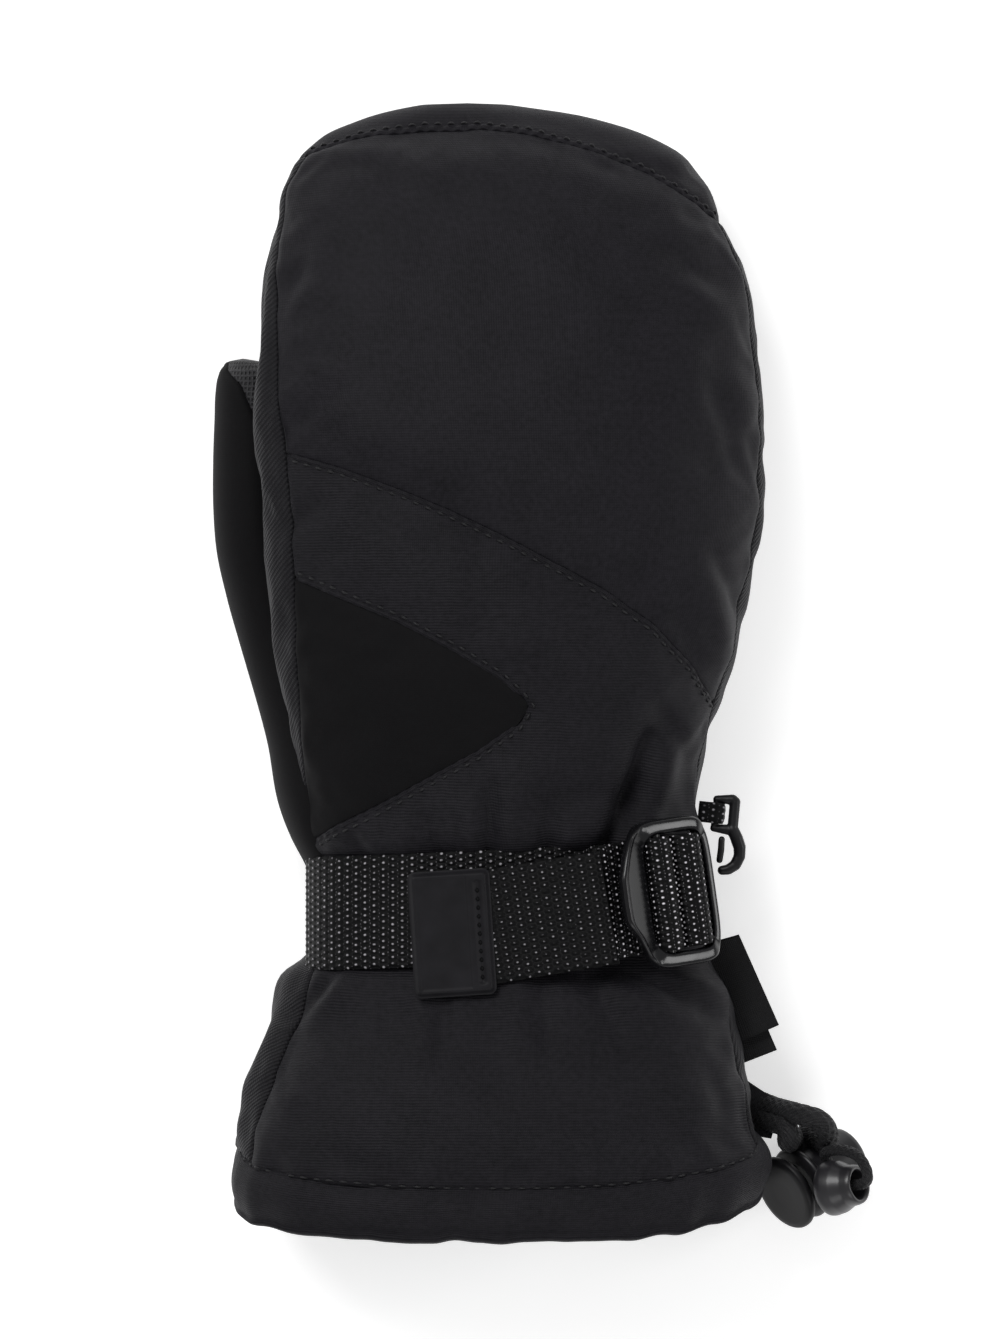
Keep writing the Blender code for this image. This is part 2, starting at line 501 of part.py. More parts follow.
turned("cord_end_bell", [(0, 0), (4.0, 0), (4.6, 0.6), (4.6, 2.0), (3.5, length - 0.6), (3.2, length), (2.0, length), (2.0, 3.0), (0, 3.0)], PLASTIC, BELL)
tube("drawcord_loop", smooth([LOCK @ Vector((-8.0, 0.5, 9.6)), (75.6, -107.2, 22.0), (80.4, -107.6, 24.6), (84.6, -111.2, 25.0), (85.4, -115.2, 24.0), BELL @ Vector((0, 0, 9.4)), BELL @ Vector((0, 0, 4.0))]), 1.2, CORD, 3)

# Pairing hook on its webbing loop at the outer side seam.
CLIP = Matrix.Translation((44.6, -31.5, 24.0)) @ Matrix.Rotation(math.radians(-6), 4, "Z") @ Matrix.Scale(0.9, 4)
strip("clip_loop", [(0.2, 2.2), (3.6, 2.2), (4.6, 1.6), (5.0, 0), (4.6, -1.6), (3.6, -2.2), (0.2, -2.2)], -2.4, 2.4, 0.8, WEB, CLIP)
clip = plate("clip_body", [(2.2, -4.2), (7.0, -4.2), (8.6, -6.2), (9.2, -8.4), (8.7, -11.4), (7.3, -13.0), (5.4, -13.0), (4.8, -14.6), (7.4, -15.4), (10.4, -13.2),
                           (11.5, -8.4), (10.6, -4.6), (9.0, -2.0), (9.0, 2.6), (7.8, 4.2), (2.2, 4.2)], -1.0, 1.0, PLASTIC, CLIP)
combine(clip, box("clip_slot", (3.9, -2.9, -3), (6.3, 2.9, 3), PLASTIC, CLIP, TOOLS), "DIFFERENCE")
plate("clip_gate", [(4.6, -4.7), (6.0, -4.7), (5.9, -12.2), (4.7, -12.6)], -0.8, 0.8, PLASTIC, CLIP)
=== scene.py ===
import math
import bpy
import bmesh
import numpy as np
from mathutils import Matrix, Vector, kdtree


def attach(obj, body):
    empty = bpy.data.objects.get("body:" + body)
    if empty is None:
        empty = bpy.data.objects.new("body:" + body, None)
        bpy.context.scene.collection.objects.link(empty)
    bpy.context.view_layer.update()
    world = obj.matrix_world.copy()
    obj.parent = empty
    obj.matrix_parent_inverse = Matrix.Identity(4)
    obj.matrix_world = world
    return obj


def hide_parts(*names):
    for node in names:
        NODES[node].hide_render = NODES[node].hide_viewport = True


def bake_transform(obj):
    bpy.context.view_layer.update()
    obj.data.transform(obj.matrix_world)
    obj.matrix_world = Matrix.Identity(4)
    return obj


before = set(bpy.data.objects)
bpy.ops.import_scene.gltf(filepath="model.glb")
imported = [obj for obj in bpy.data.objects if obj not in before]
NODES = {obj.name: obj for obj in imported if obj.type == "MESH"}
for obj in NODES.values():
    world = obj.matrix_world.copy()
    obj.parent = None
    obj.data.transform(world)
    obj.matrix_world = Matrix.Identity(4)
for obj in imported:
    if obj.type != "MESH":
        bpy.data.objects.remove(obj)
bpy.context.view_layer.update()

MM = 0.001
RNG = np.random.RandomState(7)

# ------------------------------------------------------------------ the mitten's surface, as the CAD model has it (mm)
TABLE = np.array([
    (-127, -59.0, 56.4, 57, -2.0, 27, 27, 2.4), (-114, -59.6, 58.2, 57, -2.0, 27, 27, 2.4), (-108, -58.6, 58.9, 56, -2.0, 27, 27, 2.4), (-101.5, -57.4, 55.9, 54.8, -1.8, 26.6, 26.6, 2.4),
    (-92, -55.6, 54.2, 53, -1.5, 26, 26, 2.4), (-80, -51.4, 51.7, 50, -0.5, 24, 26, 2.4), (-74, -49.6, 49.8, 48.3, 1.5, 21, 26, 2.4), (-68, -47.6, 47.4, 46.8, 3.6, 19, 25, 2.4), (-63, -43.4, 46.0, 46.3, 4.2, 20, 25, 2.4), (-56, -41.2, 45.5, 46.1, 4.4, 23, 25, 2.4),
    (-42, -41.4, 44.8, 46, 4.5, 26, 25, 2.4), (-30, -43.2, 43.0, 48.5, 1.5, 28, 25, 2.4), (-15, -46.0, 45.3, 52, -1.5, 31, 25, 2.2),
    (-5, -48.2, 48.5, 54, -2.5, 33, 25, 2.0), (4, -49.7, 51.4, 55, -2.5, 34, 25, 1.8), (11, -50.5, 53.2, 55.2, -2.5, 35, 25, 1.7),
    (24, -52.0, 55.5, 55, -2.5, 36, 25, 1.5), (34, -52.6, 57.3, 54.2, -2.5, 36, 25, 1.5), (48, -54.3, 57.5, 53, -2.5, 36, 25, 1.5), (68, -53.5, 56.2, 49.5, -2.0, 34, 24, 1.6),
    (86, -51.9, 53.9, 45, -1.5, 27, 22, 2.2), (98, -49.6, 49.4, 41, -0.5, 23, 21, 2.3), (109, -47.2, 44.0, 35, 1.5, 19, 19, 2.3),
    (115, -43.4, 37.4, 31.0, 3.5, 18, 18, 2.2), (120, -34.4, 24.6, 26.5, 6.8, 17, 17, 2.2), (123.4, -24.0, 9.5, 22.6, 10.0, 16, 16, 2.1), (125.5, -13.0, -4.0, 18.0, 14.0, 16, 16, 2.0)], float)
SLOPE = np.gradient(TABLE[:, 1:], TABLE[:, 0], axis=0)
TIP_SEAM = [(-52, 110.6), (-44, 114.2), (-33, 117.8), (-18, 119.7), (-5, 119.8), (8, 118.1), (21.5, 114.7), (32.5, 110.4), (43.5, 103.9), (54, 95)]
BAND_SEAM = [(-58, 50), (-47, 47.2), (-35.6, 43.9), (-22.4, 39), (-11.4, 34.4), (-0.4, 29.2), (10.6, 23.4), (21.6, 17.5), (32.6, 9.8), (41.4, 1), (46.2, -6.7), (56, -16)]
INSERT_TOP = [(-58, 25), (-46, 20.1), (-37.8, 16.8), (-22.4, 10.4), (-11.4, 4.7), (-0.4, -1.9), (6.2, -7.8)]
INSERT_LOW = [(-58, -46), (-42.2, -38.6), (-35.6, -34.2), (-26.8, -29.8), (-15.8, -23.7), (-4.8, -17.7), (4, -11.6), (6.2, -7.8)]
RIGHT, LEFT, PALM_L, PALM_R = 16.0, 148.0, 206.0, 344.0
WRIST_Y, HEM_Y = -53.0, -112.0


def column(y):
    ys = TABLE[:, 0]
    y = np.clip(y, ys[0], ys[-1])
    i = np.clip(np.searchsorted(ys, y) - 1, 0, len(ys) - 2)
    h = (ys[i + 1] - ys[i])[..., None]
    t = ((y - ys[i]) / h[..., 0])[..., None]
    return ((1 + 2 * t) * (1 - t) ** 2 * TABLE[i, 1:] + t * (1 - t) ** 2 * h * SLOPE[i] + t * t * (3 - 2 * t) * TABLE[i + 1, 1:] + t * t * (t - 1) * h * SLOPE[i + 1])


def raw(theta, y, depth=0.0):
    """Points of the hand's surface, depth mm under it."""
    theta, y = np.broadcast_arrays(np.asarray(theta, float), np.asarray(y, float))
    yy = y + max(0.0, depth) * np.clip((y - 60) / 50.0, 0, 1)
    xl, xr, top, low, ml, mr, nb = np.moveaxis(column(yy), -1, 0)
    xl, xr, top, low = xl + depth, xr - depth, top - depth, np.maximum(low, -2.5) + depth
    c, s = np.cos(np.radians(theta)), np.sin(np.radians(theta))
    xc = (xl + xr) / 2
    a = np.where(c >= 0, xr - xc, xc - xl)
    m = np.clip(np.where(c >= 0, mr, ml), low + 1, top - 1)
    n = np.where(s >= 0, 2.35, np.where(c < 0, nb, 2.5))
    x = xc + np.sign(c) * a * np.abs(c) ** (2 / n)
    z = np.where(s >= 0, m + (top - m) * np.abs(s) ** (2 / n), m - (m - low) * np.abs(s) ** (2 / n))
    return np.stack([x, y, np.maximum(z, max(0.0, depth))], -1)


# The seam between the back and the thumb-side strip, seen from above: y, x. The angles are eased so that the panels meet there.
LEFT_SEAM = np.array([(-127, -56.5), (-114, -56.4), (-103, -54.6), (-95, -52.8), (-85, -49.2), (-74, -45.0), (-67, -41.6), (-60, -39.6), (-53, -39.4), (-42, -39.8), (-30, -42.4), (-22, -43.9), (-15, -44.6), (-7.4, -44.9), (0, -45.3), (7, -45.6), (14, -45.8),
                      (22, -46.0), (30, -46.5), (40, -46.7), (48, -47.3), (56, -48.8), (66, -49.4), (78, -49.7), (87, -49.6), (92, -49.9), (97, -49.5), (103, -48.4), (110, -46.4), (126, -32)], float)
ROWS = np.arange(-127, 126.01, 1.0)
TRY = np.linspace(122, 179, 500)
EASE = np.array([np.interp(-np.interp(y, LEFT_SEAM[:, 0], LEFT_SEAM[:, 1]), -raw(TRY, np.full(500, y))[:, 0], TRY) - 148.0 for y in ROWS])
EASE = np.convolve(np.pad(np.clip(EASE, -12, 20), 4, "edge"), np.ones(9) / 9, "valid")


def sec(theta, y, depth=0.0):
    theta, y = np.broadcast_arrays(np.asarray(theta, float), np.asarray(y, float))
    t = np.mod(theta, 360.0)
    right = np.mod(t - 16 + 180, 360.0) - 180
    eased = theta + np.interp(y, ROWS, EASE) * np.exp(-((t - 148) / 28) ** 2) - 6.0 * np.exp(-(right / 17) ** 2)
    return raw(eased, y, depth)


FINE = np.arange(0, 360.01, 0.5)


def seam_curve(points, guess):
    p = np.array(points, float)
    y = np.full_like(FINE, guess)
    for _ in range(40):
        y = 0.6 * y + 0.4 * np.interp(sec(FINE, y)[..., 0], p[:, 0], p[:, 1])
    return y


TIP_FINE = seam_curve(TIP_SEAM, 110.0)
a_, b_ = np.interp(165, FINE, TIP_FINE), np.interp(5, FINE, TIP_FINE)
u_ = np.where(FINE > 165, (FINE - 165) / 200, (FINE + 195) / 200)
TIP_FINE = np.where((FINE >= 5) & (FINE <= 165), TIP_FINE, a_ + (b_ - a_) * u_ - 6 * np.sin(np.pi * u_))
BAND_FINE, TOP_FINE, LOW_FINE = seam_curve(BAND_SEAM, 20.0), seam_curve(INSERT_TOP, 0.0), seam_curve(INSERT_LOW, -20.0)


def at(curve):
    return lambda t: np.interp(np.mod(t, 360.0), FINE, curve)


tip_y, band_y, top_y, low_y = at(TIP_FINE), at(BAND_FINE), at(TOP_FINE), at(LOW_FINE)
gap = TOP_FINE - LOW_FINE
APEX_T = float(FINE[(FINE > 60) & (FINE < 140)][np.argmax(gap[(FINE > 60) & (FINE < 140)] > 0.6)])


def hem_end(t):
    s, c = np.sin(np.radians(t)), np.cos(np.radians(t))
    return -124.9 + (9.0 + 2.5 * ramp(c, -0.4, 0.6)) * (1 - np.abs(s)) ** 1.4 + np.where(s < 0, 2.5, 0) * np.abs(s)


def hem_top(t):
    s, c = np.sin(np.radians(t)), np.cos(np.radians(t))
    return -113.6 + (9.5 + 2.0 * ramp(c, -0.4, 0.6)) * (1 - np.abs(s)) + np.where(s < 0, 3, 0) * np.abs(s)


# ------------------------------------------------------------------ smooth repeatable noise
LATTICE = RNG.rand(48, 48, 48) * 2 - 1


def noise(p, scale, shift=0.0):
    q = np.asarray(p) / scale + 100.0 + shift
    i = np.floor(q).astype(int)
    f = q - i
    f = f * f * (3 - 2 * f)
    out = 0.0
    for dx in (0, 1):
        for dy in (0, 1):
            for dz in (0, 1):
                w = (f[..., 0] if dx else 1 - f[..., 0]) * (f[..., 1] if dy else 1 - f[..., 1]) * (f[..., 2] if dz else 1 - f[..., 2])
                out = out + w * LATTICE[(i[..., 0] + dx) % 48, (i[..., 1] + dy) % 48, (i[..., 2] + dz) % 48]
    return out


def bump(x, centre, width):
    return np.exp(-((x - centre) / width) ** 2)


def ramp(x, a, b):
    t = np.clip((x - a) / (b - a), 0, 1)
    return t * t * (3 - 2 * t)


# ------------------------------------------------------------------ seams as points in space, for grooves and stitches
ARC = np.linspace(0, 360, 721)
BACK_T = np.linspace(RIGHT, LEFT, 400)
SEAMS = {
    "tip": sec(ARC, tip_y(ARC)), "band": sec(BACK_T, band_y(BACK_T)),
    "left": sec(LEFT, np.linspace(-112, float(tip_y(LEFT)), 400)), "right": sec(RIGHT, np.linspace(-110, float(tip_y(RIGHT)), 400)),
    "palm_l": sec(PALM_L, np.linspace(-53, float(tip_y(PALM_L)), 300)), "palm_r": sec(PALM_R, np.linspace(-53, float(tip_y(PALM_R)), 300)),
    "wrist": sec(ARC, WRIST_Y), "hem": sec(ARC, hem_top(ARC)),
    "insert_top": sec(np.linspace(APEX_T, LEFT, 200), top_y(np.linspace(APEX_T, LEFT, 200))),
    "insert_low": sec(np.linspace(APEX_T, LEFT, 200), low_y(np.linspace(APEX_T, LEFT, 200)))}


def tree_of(names):
    pts = np.concatenate([SEAMS[n] for n in names])
    t = kdtree.KDTree(len(pts))
    for k, q in enumerate(pts):
        t.insert(q, k)
    t.balance()
    return t


ALL_SEAMS = tree_of(list(SEAMS))


def distance(points, tree=ALL_SEAMS):
    flat = points.reshape(-1, 3)
    return np.array([tree.find(q)[2] for q in flat]).reshape(points.shape[:-1])


def normals(theta, y):
    e = 0.25
    dt = sec(theta + e, y) - sec(theta - e, y)
    dy = sec(theta, np.minimum(y + e, 125.4)) - sec(theta, np.minimum(y, 125.4) - e)
    n = np.cross(dy, dt)
    return n / np.maximum(np.linalg.norm(n, axis=-1, keepdims=True), 1e-9)


# ------------------------------------------------------------------ padding, seam valleys, folds and gathers
# Folds of the back, seen from above: x0, y0, x1, y1, height, width.
FOLDS = [(31.9, -15, 23.4, -38, -3.7, 2.1), (36.5, -17, 30.0, -38, 2.7, 3.3), (26.0, -20, 18.5, -38, 1.3, 3.4), (-2.6, -25, -3.2, -42, -1.9, 1.3), (-7.4, -29, -7.8, -42, 1.2, 2.4),
         (1.8, -28, 1.4, -42, 1.2, 2.4), (-17, -32, -14, -42, -1.4, 1.7), (-24, -34, -21, -42, 1.1, 2.4), (10.5, -31, 9.0, -42, -1.5, 1.8), (15.5, -33, 13, -42, 1.0, 2.0), (-32, -36, -30, -43, -1.1, 1.6), (-28, -36, -26, -43, 0.8, 1.8),
         (-35, -65, -47, -77, -2.0, 1.7), (-33, -68, -42, -78, 1.2, 2.4), (-12, -66, -13.5, -86, -0.9, 1.9), (-17, -66, -18.5, -84, 0.8, 2.6), (-24, -66, -26, -80, -0.7, 1.8), (18, -66, 26, -82, -1.2, 2.4),
         (26, -66, 46, -75, -1.6, 2.2), (24, -69, 42, -80, 1.1, 3.2), (8, -66, 10, -84, -0.9, 2.0), (3, -66, 3.5, -82, 0.7, 2.4), (36, -66, 47, -72, 1.0, 2.2), (44, 64, 53, 44, -1.1, 2.6), (49, 70, 55, 52, 0.8, 3.0), (40, 86, 49, 75, 0.9, 3.6),
         (35, 92, 46, 84, -0.8, 2.8), (45, 26, 54, 12, -1.4, 2.2), (41, 20, 50, 4, 1.0, 3.2), (38, 12, 46, -4, -0.9, 2.4), (-36, 61, -47, 52, -1.0, 2.2), (-40, 66, -48, 60, 0.7, 2.6), (-43, 90, -48, 80, -0.9, 2.2), (-30, 112, -22, 103, -0.8, 2.2),
         (-22, 114, -15, 106, 0.5, 2.4), (-2, 116, 2, 106, -0.6, 2.2), (12, 113, 11, 104, -0.6, 2.0), (22, 110, 18, 101, -0.7, 2.2), (34, 103, 29, 95, -0.7, 2.4), (-40, 36, -47, 31, -0.7, 1.8), (-41, 40, -47, 43, 0.5, 2.0),
         (-48, -84, -54, -98, -0.9, 2.0), (-44, -88, -49, -104, 0.6, 2.6), (44, -86, 51, -102, -0.8, 2.2), (40, -90, 45, -106, 0.5, 2.8), (20, -24, 34, -6, 0.8, 4.5), (34, -8, 44, -24, -1.0, 2.4), (39, -10, 44, -30, 0.9, 2.6)]


def fold_height(p):
    out = np.zeros(p.shape[:-1])
    for x0, y0, x1, y1, amp, width in FOLDS:
        dx, dy = x1 - x0, y1 - y0
        t = np.clip(((p[..., 0] - x0) * dx + (p[..., 1] - y0) * dy) / (dx * dx + dy * dy), 0, 1)
        d = np.hypot(p[..., 0] - x0 - t * dx, p[..., 1] - y0 - t * dy)
        out += amp * np.exp(-(d / width) ** 2) * (0.25 + 0.75 * np.sin(np.pi * np.clip(0.12 + 0.76 * t, 0, 1)))
    return out


SIM = None          # filled in by the cloth simulation: displacement along the normal on a grid of (theta, y)
SIM_Y = (-113.0, 119.0)


def height(theta, y, p, puff=1.0):
    """How far the padded cloth stands off the CAD surface."""
    theta = np.broadcast_to(theta, p.shape[:-1])
    y = np.broadcast_to(y, p.shape[:-1])
    d = distance(p)
    back = ramp(p[..., 2], 24, 34)
    h = puff * (1 - np.exp(-(d / 7.5) ** 2)) - 0.26 * np.exp(-(d / 0.9) ** 2)
    h += 0.75 * noise(p, 36) + 0.42 * noise(p, 15, 9.0)
    h += 0.55 * noise(p * (1, 1, 1), 4.6, 3.0) * np.exp(-d / 4.5) * (1 + 0.9 * ramp(-y, 62, 76))
    h += back * fold_height(p)
    strap = ramp(y, -69, -65) * (1 - ramp(y, -42.5, -38.5))
    h = h * (1 - 0.85 * strap) - 0.35 * strap
    h += 1.1 * bump(y, -36.5, 4.6) + 0.8 * bump(y, -71, 5.0)
    gather = bump(y, -38, 8) + 0.75 * bump(y, -70, 9)
    h += 0.8 * gather * noise(p * (1, 0.22, 1), 5.2, 17.0) * (1 - strap)
    hem = np.exp(-np.maximum(0, y - hem_top(theta)) / 9.0) * (y >= hem_top(theta) - 0.5)
    h += 0.55 * hem * noise(p * (1, 0.18, 1), 5.0, 23.0)
    side = bump(theta, 172, 26) * ramp(-y, 60, 74)
    h += 1.4 * side * noise(p * (1, 0.10, 1), 6.5, 31.0)
    if SIM is not None:
        nt_, ny_ = SIM.shape
        ti = np.mod(theta, 360.0) / 360.0 * nt_ + 1.0
        yi = np.clip((y - SIM_Y[0]) / (SIM_Y[1] - SIM_Y[0]) * (ny_ - 3) + 1.0, 0, ny_ - 1.001)
        i, j = np.floor(ti).astype(int), np.floor(yi).astype(int)
        f, g = ti - i, yi - j
        i0, i1 = i % nt_, (i + 1) % nt_
        h = h + (SIM[i0, j] * (1 - f) + SIM[i1, j] * f) * (1 - g) + (SIM[i0, j + 1] * (1 - f) + SIM[i1, j + 1] * f) * g
    return h


def cloth_at(theta, y, puff=1.0, lift=0.0):
    p = sec(theta, y)
    n = normals(theta, y)
    q = p + n * (height(theta, y, p, puff) + lift)[..., None]
    q[..., 2] = np.maximum(q[..., 2], 0.05)
    return q, n


# ------------------------------------------------------------------ cloth simulation of the padded shell
def simulate(n_t=126, n_y=108, last=16):
    """The shell as one cloth, held at its seams and under the strap, blown up by its filling; it has more cloth than room near the seams and the wrist."""
    th = np.arange(n_t) * 360.0 / n_t
    ys = np.linspace(SIM_Y[0], SIM_Y[1], n_y)
    T, Y = np.meshgrid(th, ys, indexing="ij")
    p, n = sec(T, Y), normals(T, Y)
    i, j = np.meshgrid(np.arange(n_t), np.arange(n_y - 1), indexing="ij")
    k = (i + 1) % n_t
    faces = np.stack([i * n_y + j, i * n_y + j + 1, k * n_y + j + 1, k * n_y + j], -1).reshape(-1, 4)
    me = bpy.data.meshes.new("cloth_trial")
    me.from_pydata((p.reshape(-1, 3) * MM).tolist(), [], faces.tolist())
    o = bpy.data.objects.new("cloth_trial", me)
    bpy.context.scene.collection.objects.link(o)
    d = distance(p)
    strap = (Y > -66) & (Y < -41)
    pin = (d < 1.5) | strap | (Y > 116) | (Y < -111) | (p[..., 2] < 1.0)
    spare = np.clip(0.35 * np.exp(-d / 6.0) + bump(Y, -37, 9) + 0.8 * bump(Y, -71, 9), 0, 1)
    hold, loose = o.vertex_groups.new(name="hold"), o.vertex_groups.new(name="spare")
    for v in np.flatnonzero(pin.ravel()):
        hold.add([int(v)], 1.0, "REPLACE")
    for v, w in enumerate(spare.ravel()):
        loose.add([v], float(w), "REPLACE")
    c = o.modifiers.new("cloth", "CLOTH")
    st = c.settings
    st.quality, st.mass, st.air_damping = 6, 0.2, 2.0
    st.tension_stiffness = st.compression_stiffness = 14.0
    st.shear_stiffness, st.bending_stiffness = 6.0, 0.35
    st.use_pressure, st.uniform_pressure_force = True, 3.0
    st.vertex_group_mass, st.pin_stiffness = "hold", 1.0
    st.vertex_group_shrink, st.shrink_min, st.shrink_max = "spare", -0.012, -0.075
    st.effector_weights.gravity = 0.0
    c.collision_settings.use_collision = False
    c.point_cache.frame_start, c.point_cache.frame_end = 1, last
    scene = bpy.context.scene
    for f in range(1, last + 1):
        scene.frame_set(f)
    done = o.evaluated_get(bpy.context.evaluated_depsgraph_get()).to_mesh()
    q = np.empty(n_t * n_y * 3)
    done.vertices.foreach_get("co", q)
    moved = ((q.reshape(n_t, n_y, 3) / MM - p) * n).sum(-1)
    scene.frame_set(1)
    bpy.data.objects.remove(o)
    bpy.data.meshes.remove(me)
    moved = 2.6 * np.tanh(np.nan_to_num(moved) / 2.6)
    up = np.repeat(np.repeat(moved, 3, 0), 3, 1)
    for _ in range(3):
        up = (np.roll(up, 1, 0) + up + np.roll(up, -1, 0)) / 3
        e = np.pad(up, ((0, 0), (1, 1)), "edge")
        up = (e[:, :-2] + e[:, 1:-1] + e[:, 2:]) / 3
    return up


SIM = simulate()


# ------------------------------------------------------------------ materials
def principled(name):
    m = bpy.data.materials.new(name)
    m.use_nodes = True
    return m, m.node_tree, m.node_tree.nodes["Principled BSDF"]


def node(nt, kind, **values):
    n = nt.nodes.new(kind)
    for k, v in values.items():
        if k.startswith("in_"):
            n.inputs[k[3:].replace("_", " ")].default_value = v
        else:
            setattr(n, k, v)
    return n


def math_node(nt, op, a, b=None, c=None):
    n = nt.nodes.new("ShaderNodeMath")
    n.operation = op
    for k, v in enumerate((a, b, c)):
        if v is None:
            continue
        if isinstance(v, (int, float)):
            n.inputs[k].default_value = v
        else:
            nt.links.new(v, n.inputs[k])
    return n.outputs[0]


def uv_mm(nt):
    """Cloth coordinates in millimetres: across the cloth and along it."""
    uv = nt.nodes.new("ShaderNodeUVMap")
    uv.uv_map = "cloth"
    sep = nt.nodes.new("ShaderNodeSeparateXYZ")
    nt.links.new(uv.outputs[0], sep.inputs[0])
    return uv.outputs[0], sep.outputs[0], sep.outputs[1]


def wave(nt, coord, pitch, phase=0.0):
    return math_node(nt, "SINE", math_node(nt, "MULTIPLY_ADD", coord, 2 * math.pi / pitch, phase))


def noise_tex(nt, vector, scale, detail=3.0, rough=0.55):
    n = node(nt, "ShaderNodeTexNoise", in_Scale=scale, in_Detail=detail, in_Roughness=rough)
    nt.links.new(vector, n.inputs["Vector"])
    return n.outputs["Fac"]


def colour_between(nt, fac, dark, light, lo=0.3, hi=0.7):
    r = nt.nodes.new("ShaderNodeValToRGB")
    r.color_ramp.elements[0].position, r.color_ramp.elements[1].position = lo, hi
    r.color_ramp.elements[0].color, r.color_ramp.elements[1].color = (*dark, 1), (*light, 1)
    nt.links.new(fac, r.inputs[0])
    return r.outputs[0]


def set_bump(nt, p, heights, strength, dist):
    b = node(nt, "ShaderNodeBump", in_Strength=strength, in_Distance=dist)
    nt.links.new(heights, b.inputs["Height"])
    nt.links.new(b.outputs[0], p.inputs["Normal"])


def fabric(name, dark, light, rough, weave="rib", pitch=1.0, strength=0.5, sheen=0.15, sheen_tint=(0.8, 0.8, 0.85), spec=0.3):
    m, nt, p = principled(name)
    vec, u, v = uv_mm(nt)
    cloud = noise_tex(nt, vec, 0.09, 4)
    fibre = noise_tex(nt, vec, 2.6, 2)
    if weave == "rib":
        wob = math_node(nt, "MULTIPLY", noise_tex(nt, vec, 0.35, 2), 0.5)
        rib = wave(nt, math_node(nt, "ADD", v, wob), pitch)
        warp = wave(nt, u, pitch * 0.62)
        h = math_node(nt, "MULTIPLY_ADD", rib, 0.55, math_node(nt, "MULTIPLY", warp, 0.18))
    elif weave == "twill":
        diag = math_node(nt, "ADD", u, v)
        h = math_node(nt, "MULTIPLY_ADD", wave(nt, diag, pitch), 0.5, math_node(nt, "MULTIPLY", wave(nt, math_node(nt, "SUBTRACT", u, v), pitch * 0.55), 0.2))
    elif weave == "grip":
        a = wave(nt, math_node(nt, "ADD", u, math_node(nt, "MULTIPLY", v, 0.35)), pitch)
        b = wave(nt, v, pitch * 0.8)
        h = math_node(nt, "MULTIPLY", math_node(nt, "MAXIMUM", a, b), 0.9)
    elif weave == "fleece":
        h = math_node(nt, "MULTIPLY", noise_tex(nt, vec, 1.3, 6, 0.7), 2.0)
    else:
        h = math_node(nt, "MULTIPLY_ADD", wave(nt, u, pitch), 0.22, math_node(nt, "MULTIPLY", wave(nt, v, pitch), 0.22))
    h = math_node(nt, "MULTIPLY_ADD", fibre, 0.7, h)
    grain = noise_tex(nt, vec, 0.75, 3)
    tone = math_node(nt, "MULTIPLY_ADD", grain, 0.60, math_node(nt, "MULTIPLY_ADD", cloud, 0.36, math_node(nt, "MULTIPLY_ADD", h, 0.16, 0.01)))
    nt.links.new(colour_between(nt, tone, dark, light), p.inputs["Base Color"])
    p.inputs["Roughness"].default_value = rough
    p.inputs["Specular IOR Level"].default_value = spec
    p.inputs["Sheen Weight"].default_value = sheen
    p.inputs["Sheen Roughness"].default_value = 0.45
    p.inputs["Sheen Tint"].default_value = (*sheen_tint, 1)
    set_bump(nt, p, h, strength, 0.00022)
    return m


def plastic(name, base, rough, grain=0.12, spec=0.5, coat=0.0):
    m, nt, p = principled(name)
    tex = nt.nodes.new("ShaderNodeTexCoord")
    fine = noise_tex(nt, tex.outputs["Object"], 2600, 3)
    broad = noise_tex(nt, tex.outputs["Object"], 160, 3)
    dark, light = tuple(0.8 * c for c in base), tuple(1.25 * c for c in base)
    nt.links.new(colour_between(nt, broad, dark, light), p.inputs["Base Color"])
    r = math_node(nt, "MULTIPLY_ADD", broad, 0.16, rough - 0.08)
    nt.links.new(r, p.inputs["Roughness"])
    p.inputs["Specular IOR Level"].default_value = spec
    p.inputs["Coat Weight"].default_value = coat
    set_bump(nt, p, fine, grain, 0.00006)
    return m


SHELL = fabric("shell_smooth", (0.0026, 0.0023, 0.0035), (0.0098, 0.0089, 0.0117), 0.62, "plain", 0.55, 0.30, 0.035, spec=0.12)
RIB = fabric("shell_rib", (0.0022, 0.0020, 0.0031), (0.0094, 0.0086, 0.0111), 0.60, "rib", 0.62, 0.36, 0.035, spec=0.12)
TWILL = fabric("shell_twill", (0.0044, 0.0041, 0.0052), (0.0084, 0.0080, 0.0098), 0.58, "twill", 1.25, 0.7, 0.05, spec=0.13)
SOFT = fabric("stretch_smooth", (0.0036, 0.0034, 0.0039), (0.0046, 0.0044, 0.0049), 0.76, "plain", 0.4, 0.16, 0.02, spec=0.08)
GRIP = fabric("grip_texture", (0.004, 0.004, 0.0046), (0.026, 0.0255, 0.028), 0.50, "grip", 1.5, 1.0, 0.0, spec=0.22)
FLEECE = fabric("lining_fleece", (0.012, 0.012, 0.0135), (0.034, 0.033, 0.037), 0.95, "fleece", 1.0, 0.9, 0.20, spec=0.1)
THREAD = fabric("stitch_thread", (0.004, 0.004, 0.0046), (0.015, 0.0145, 0.0165), 0.5, "plain", 0.3, 0.3, 0.0, spec=0.25)
LABEL = fabric("woven_label", (0.0024, 0.0024, 0.0028), (0.0052, 0.0052, 0.0060), 0.55, "plain", 0.45, 0.55, 0.02, spec=0.14)
CORDM = fabric("cord_braid", (0.0045, 0.0045, 0.0052), (0.013, 0.0128, 0.0142), 0.55, "twill", 0.9, 0.9, 0.04, spec=0.25)


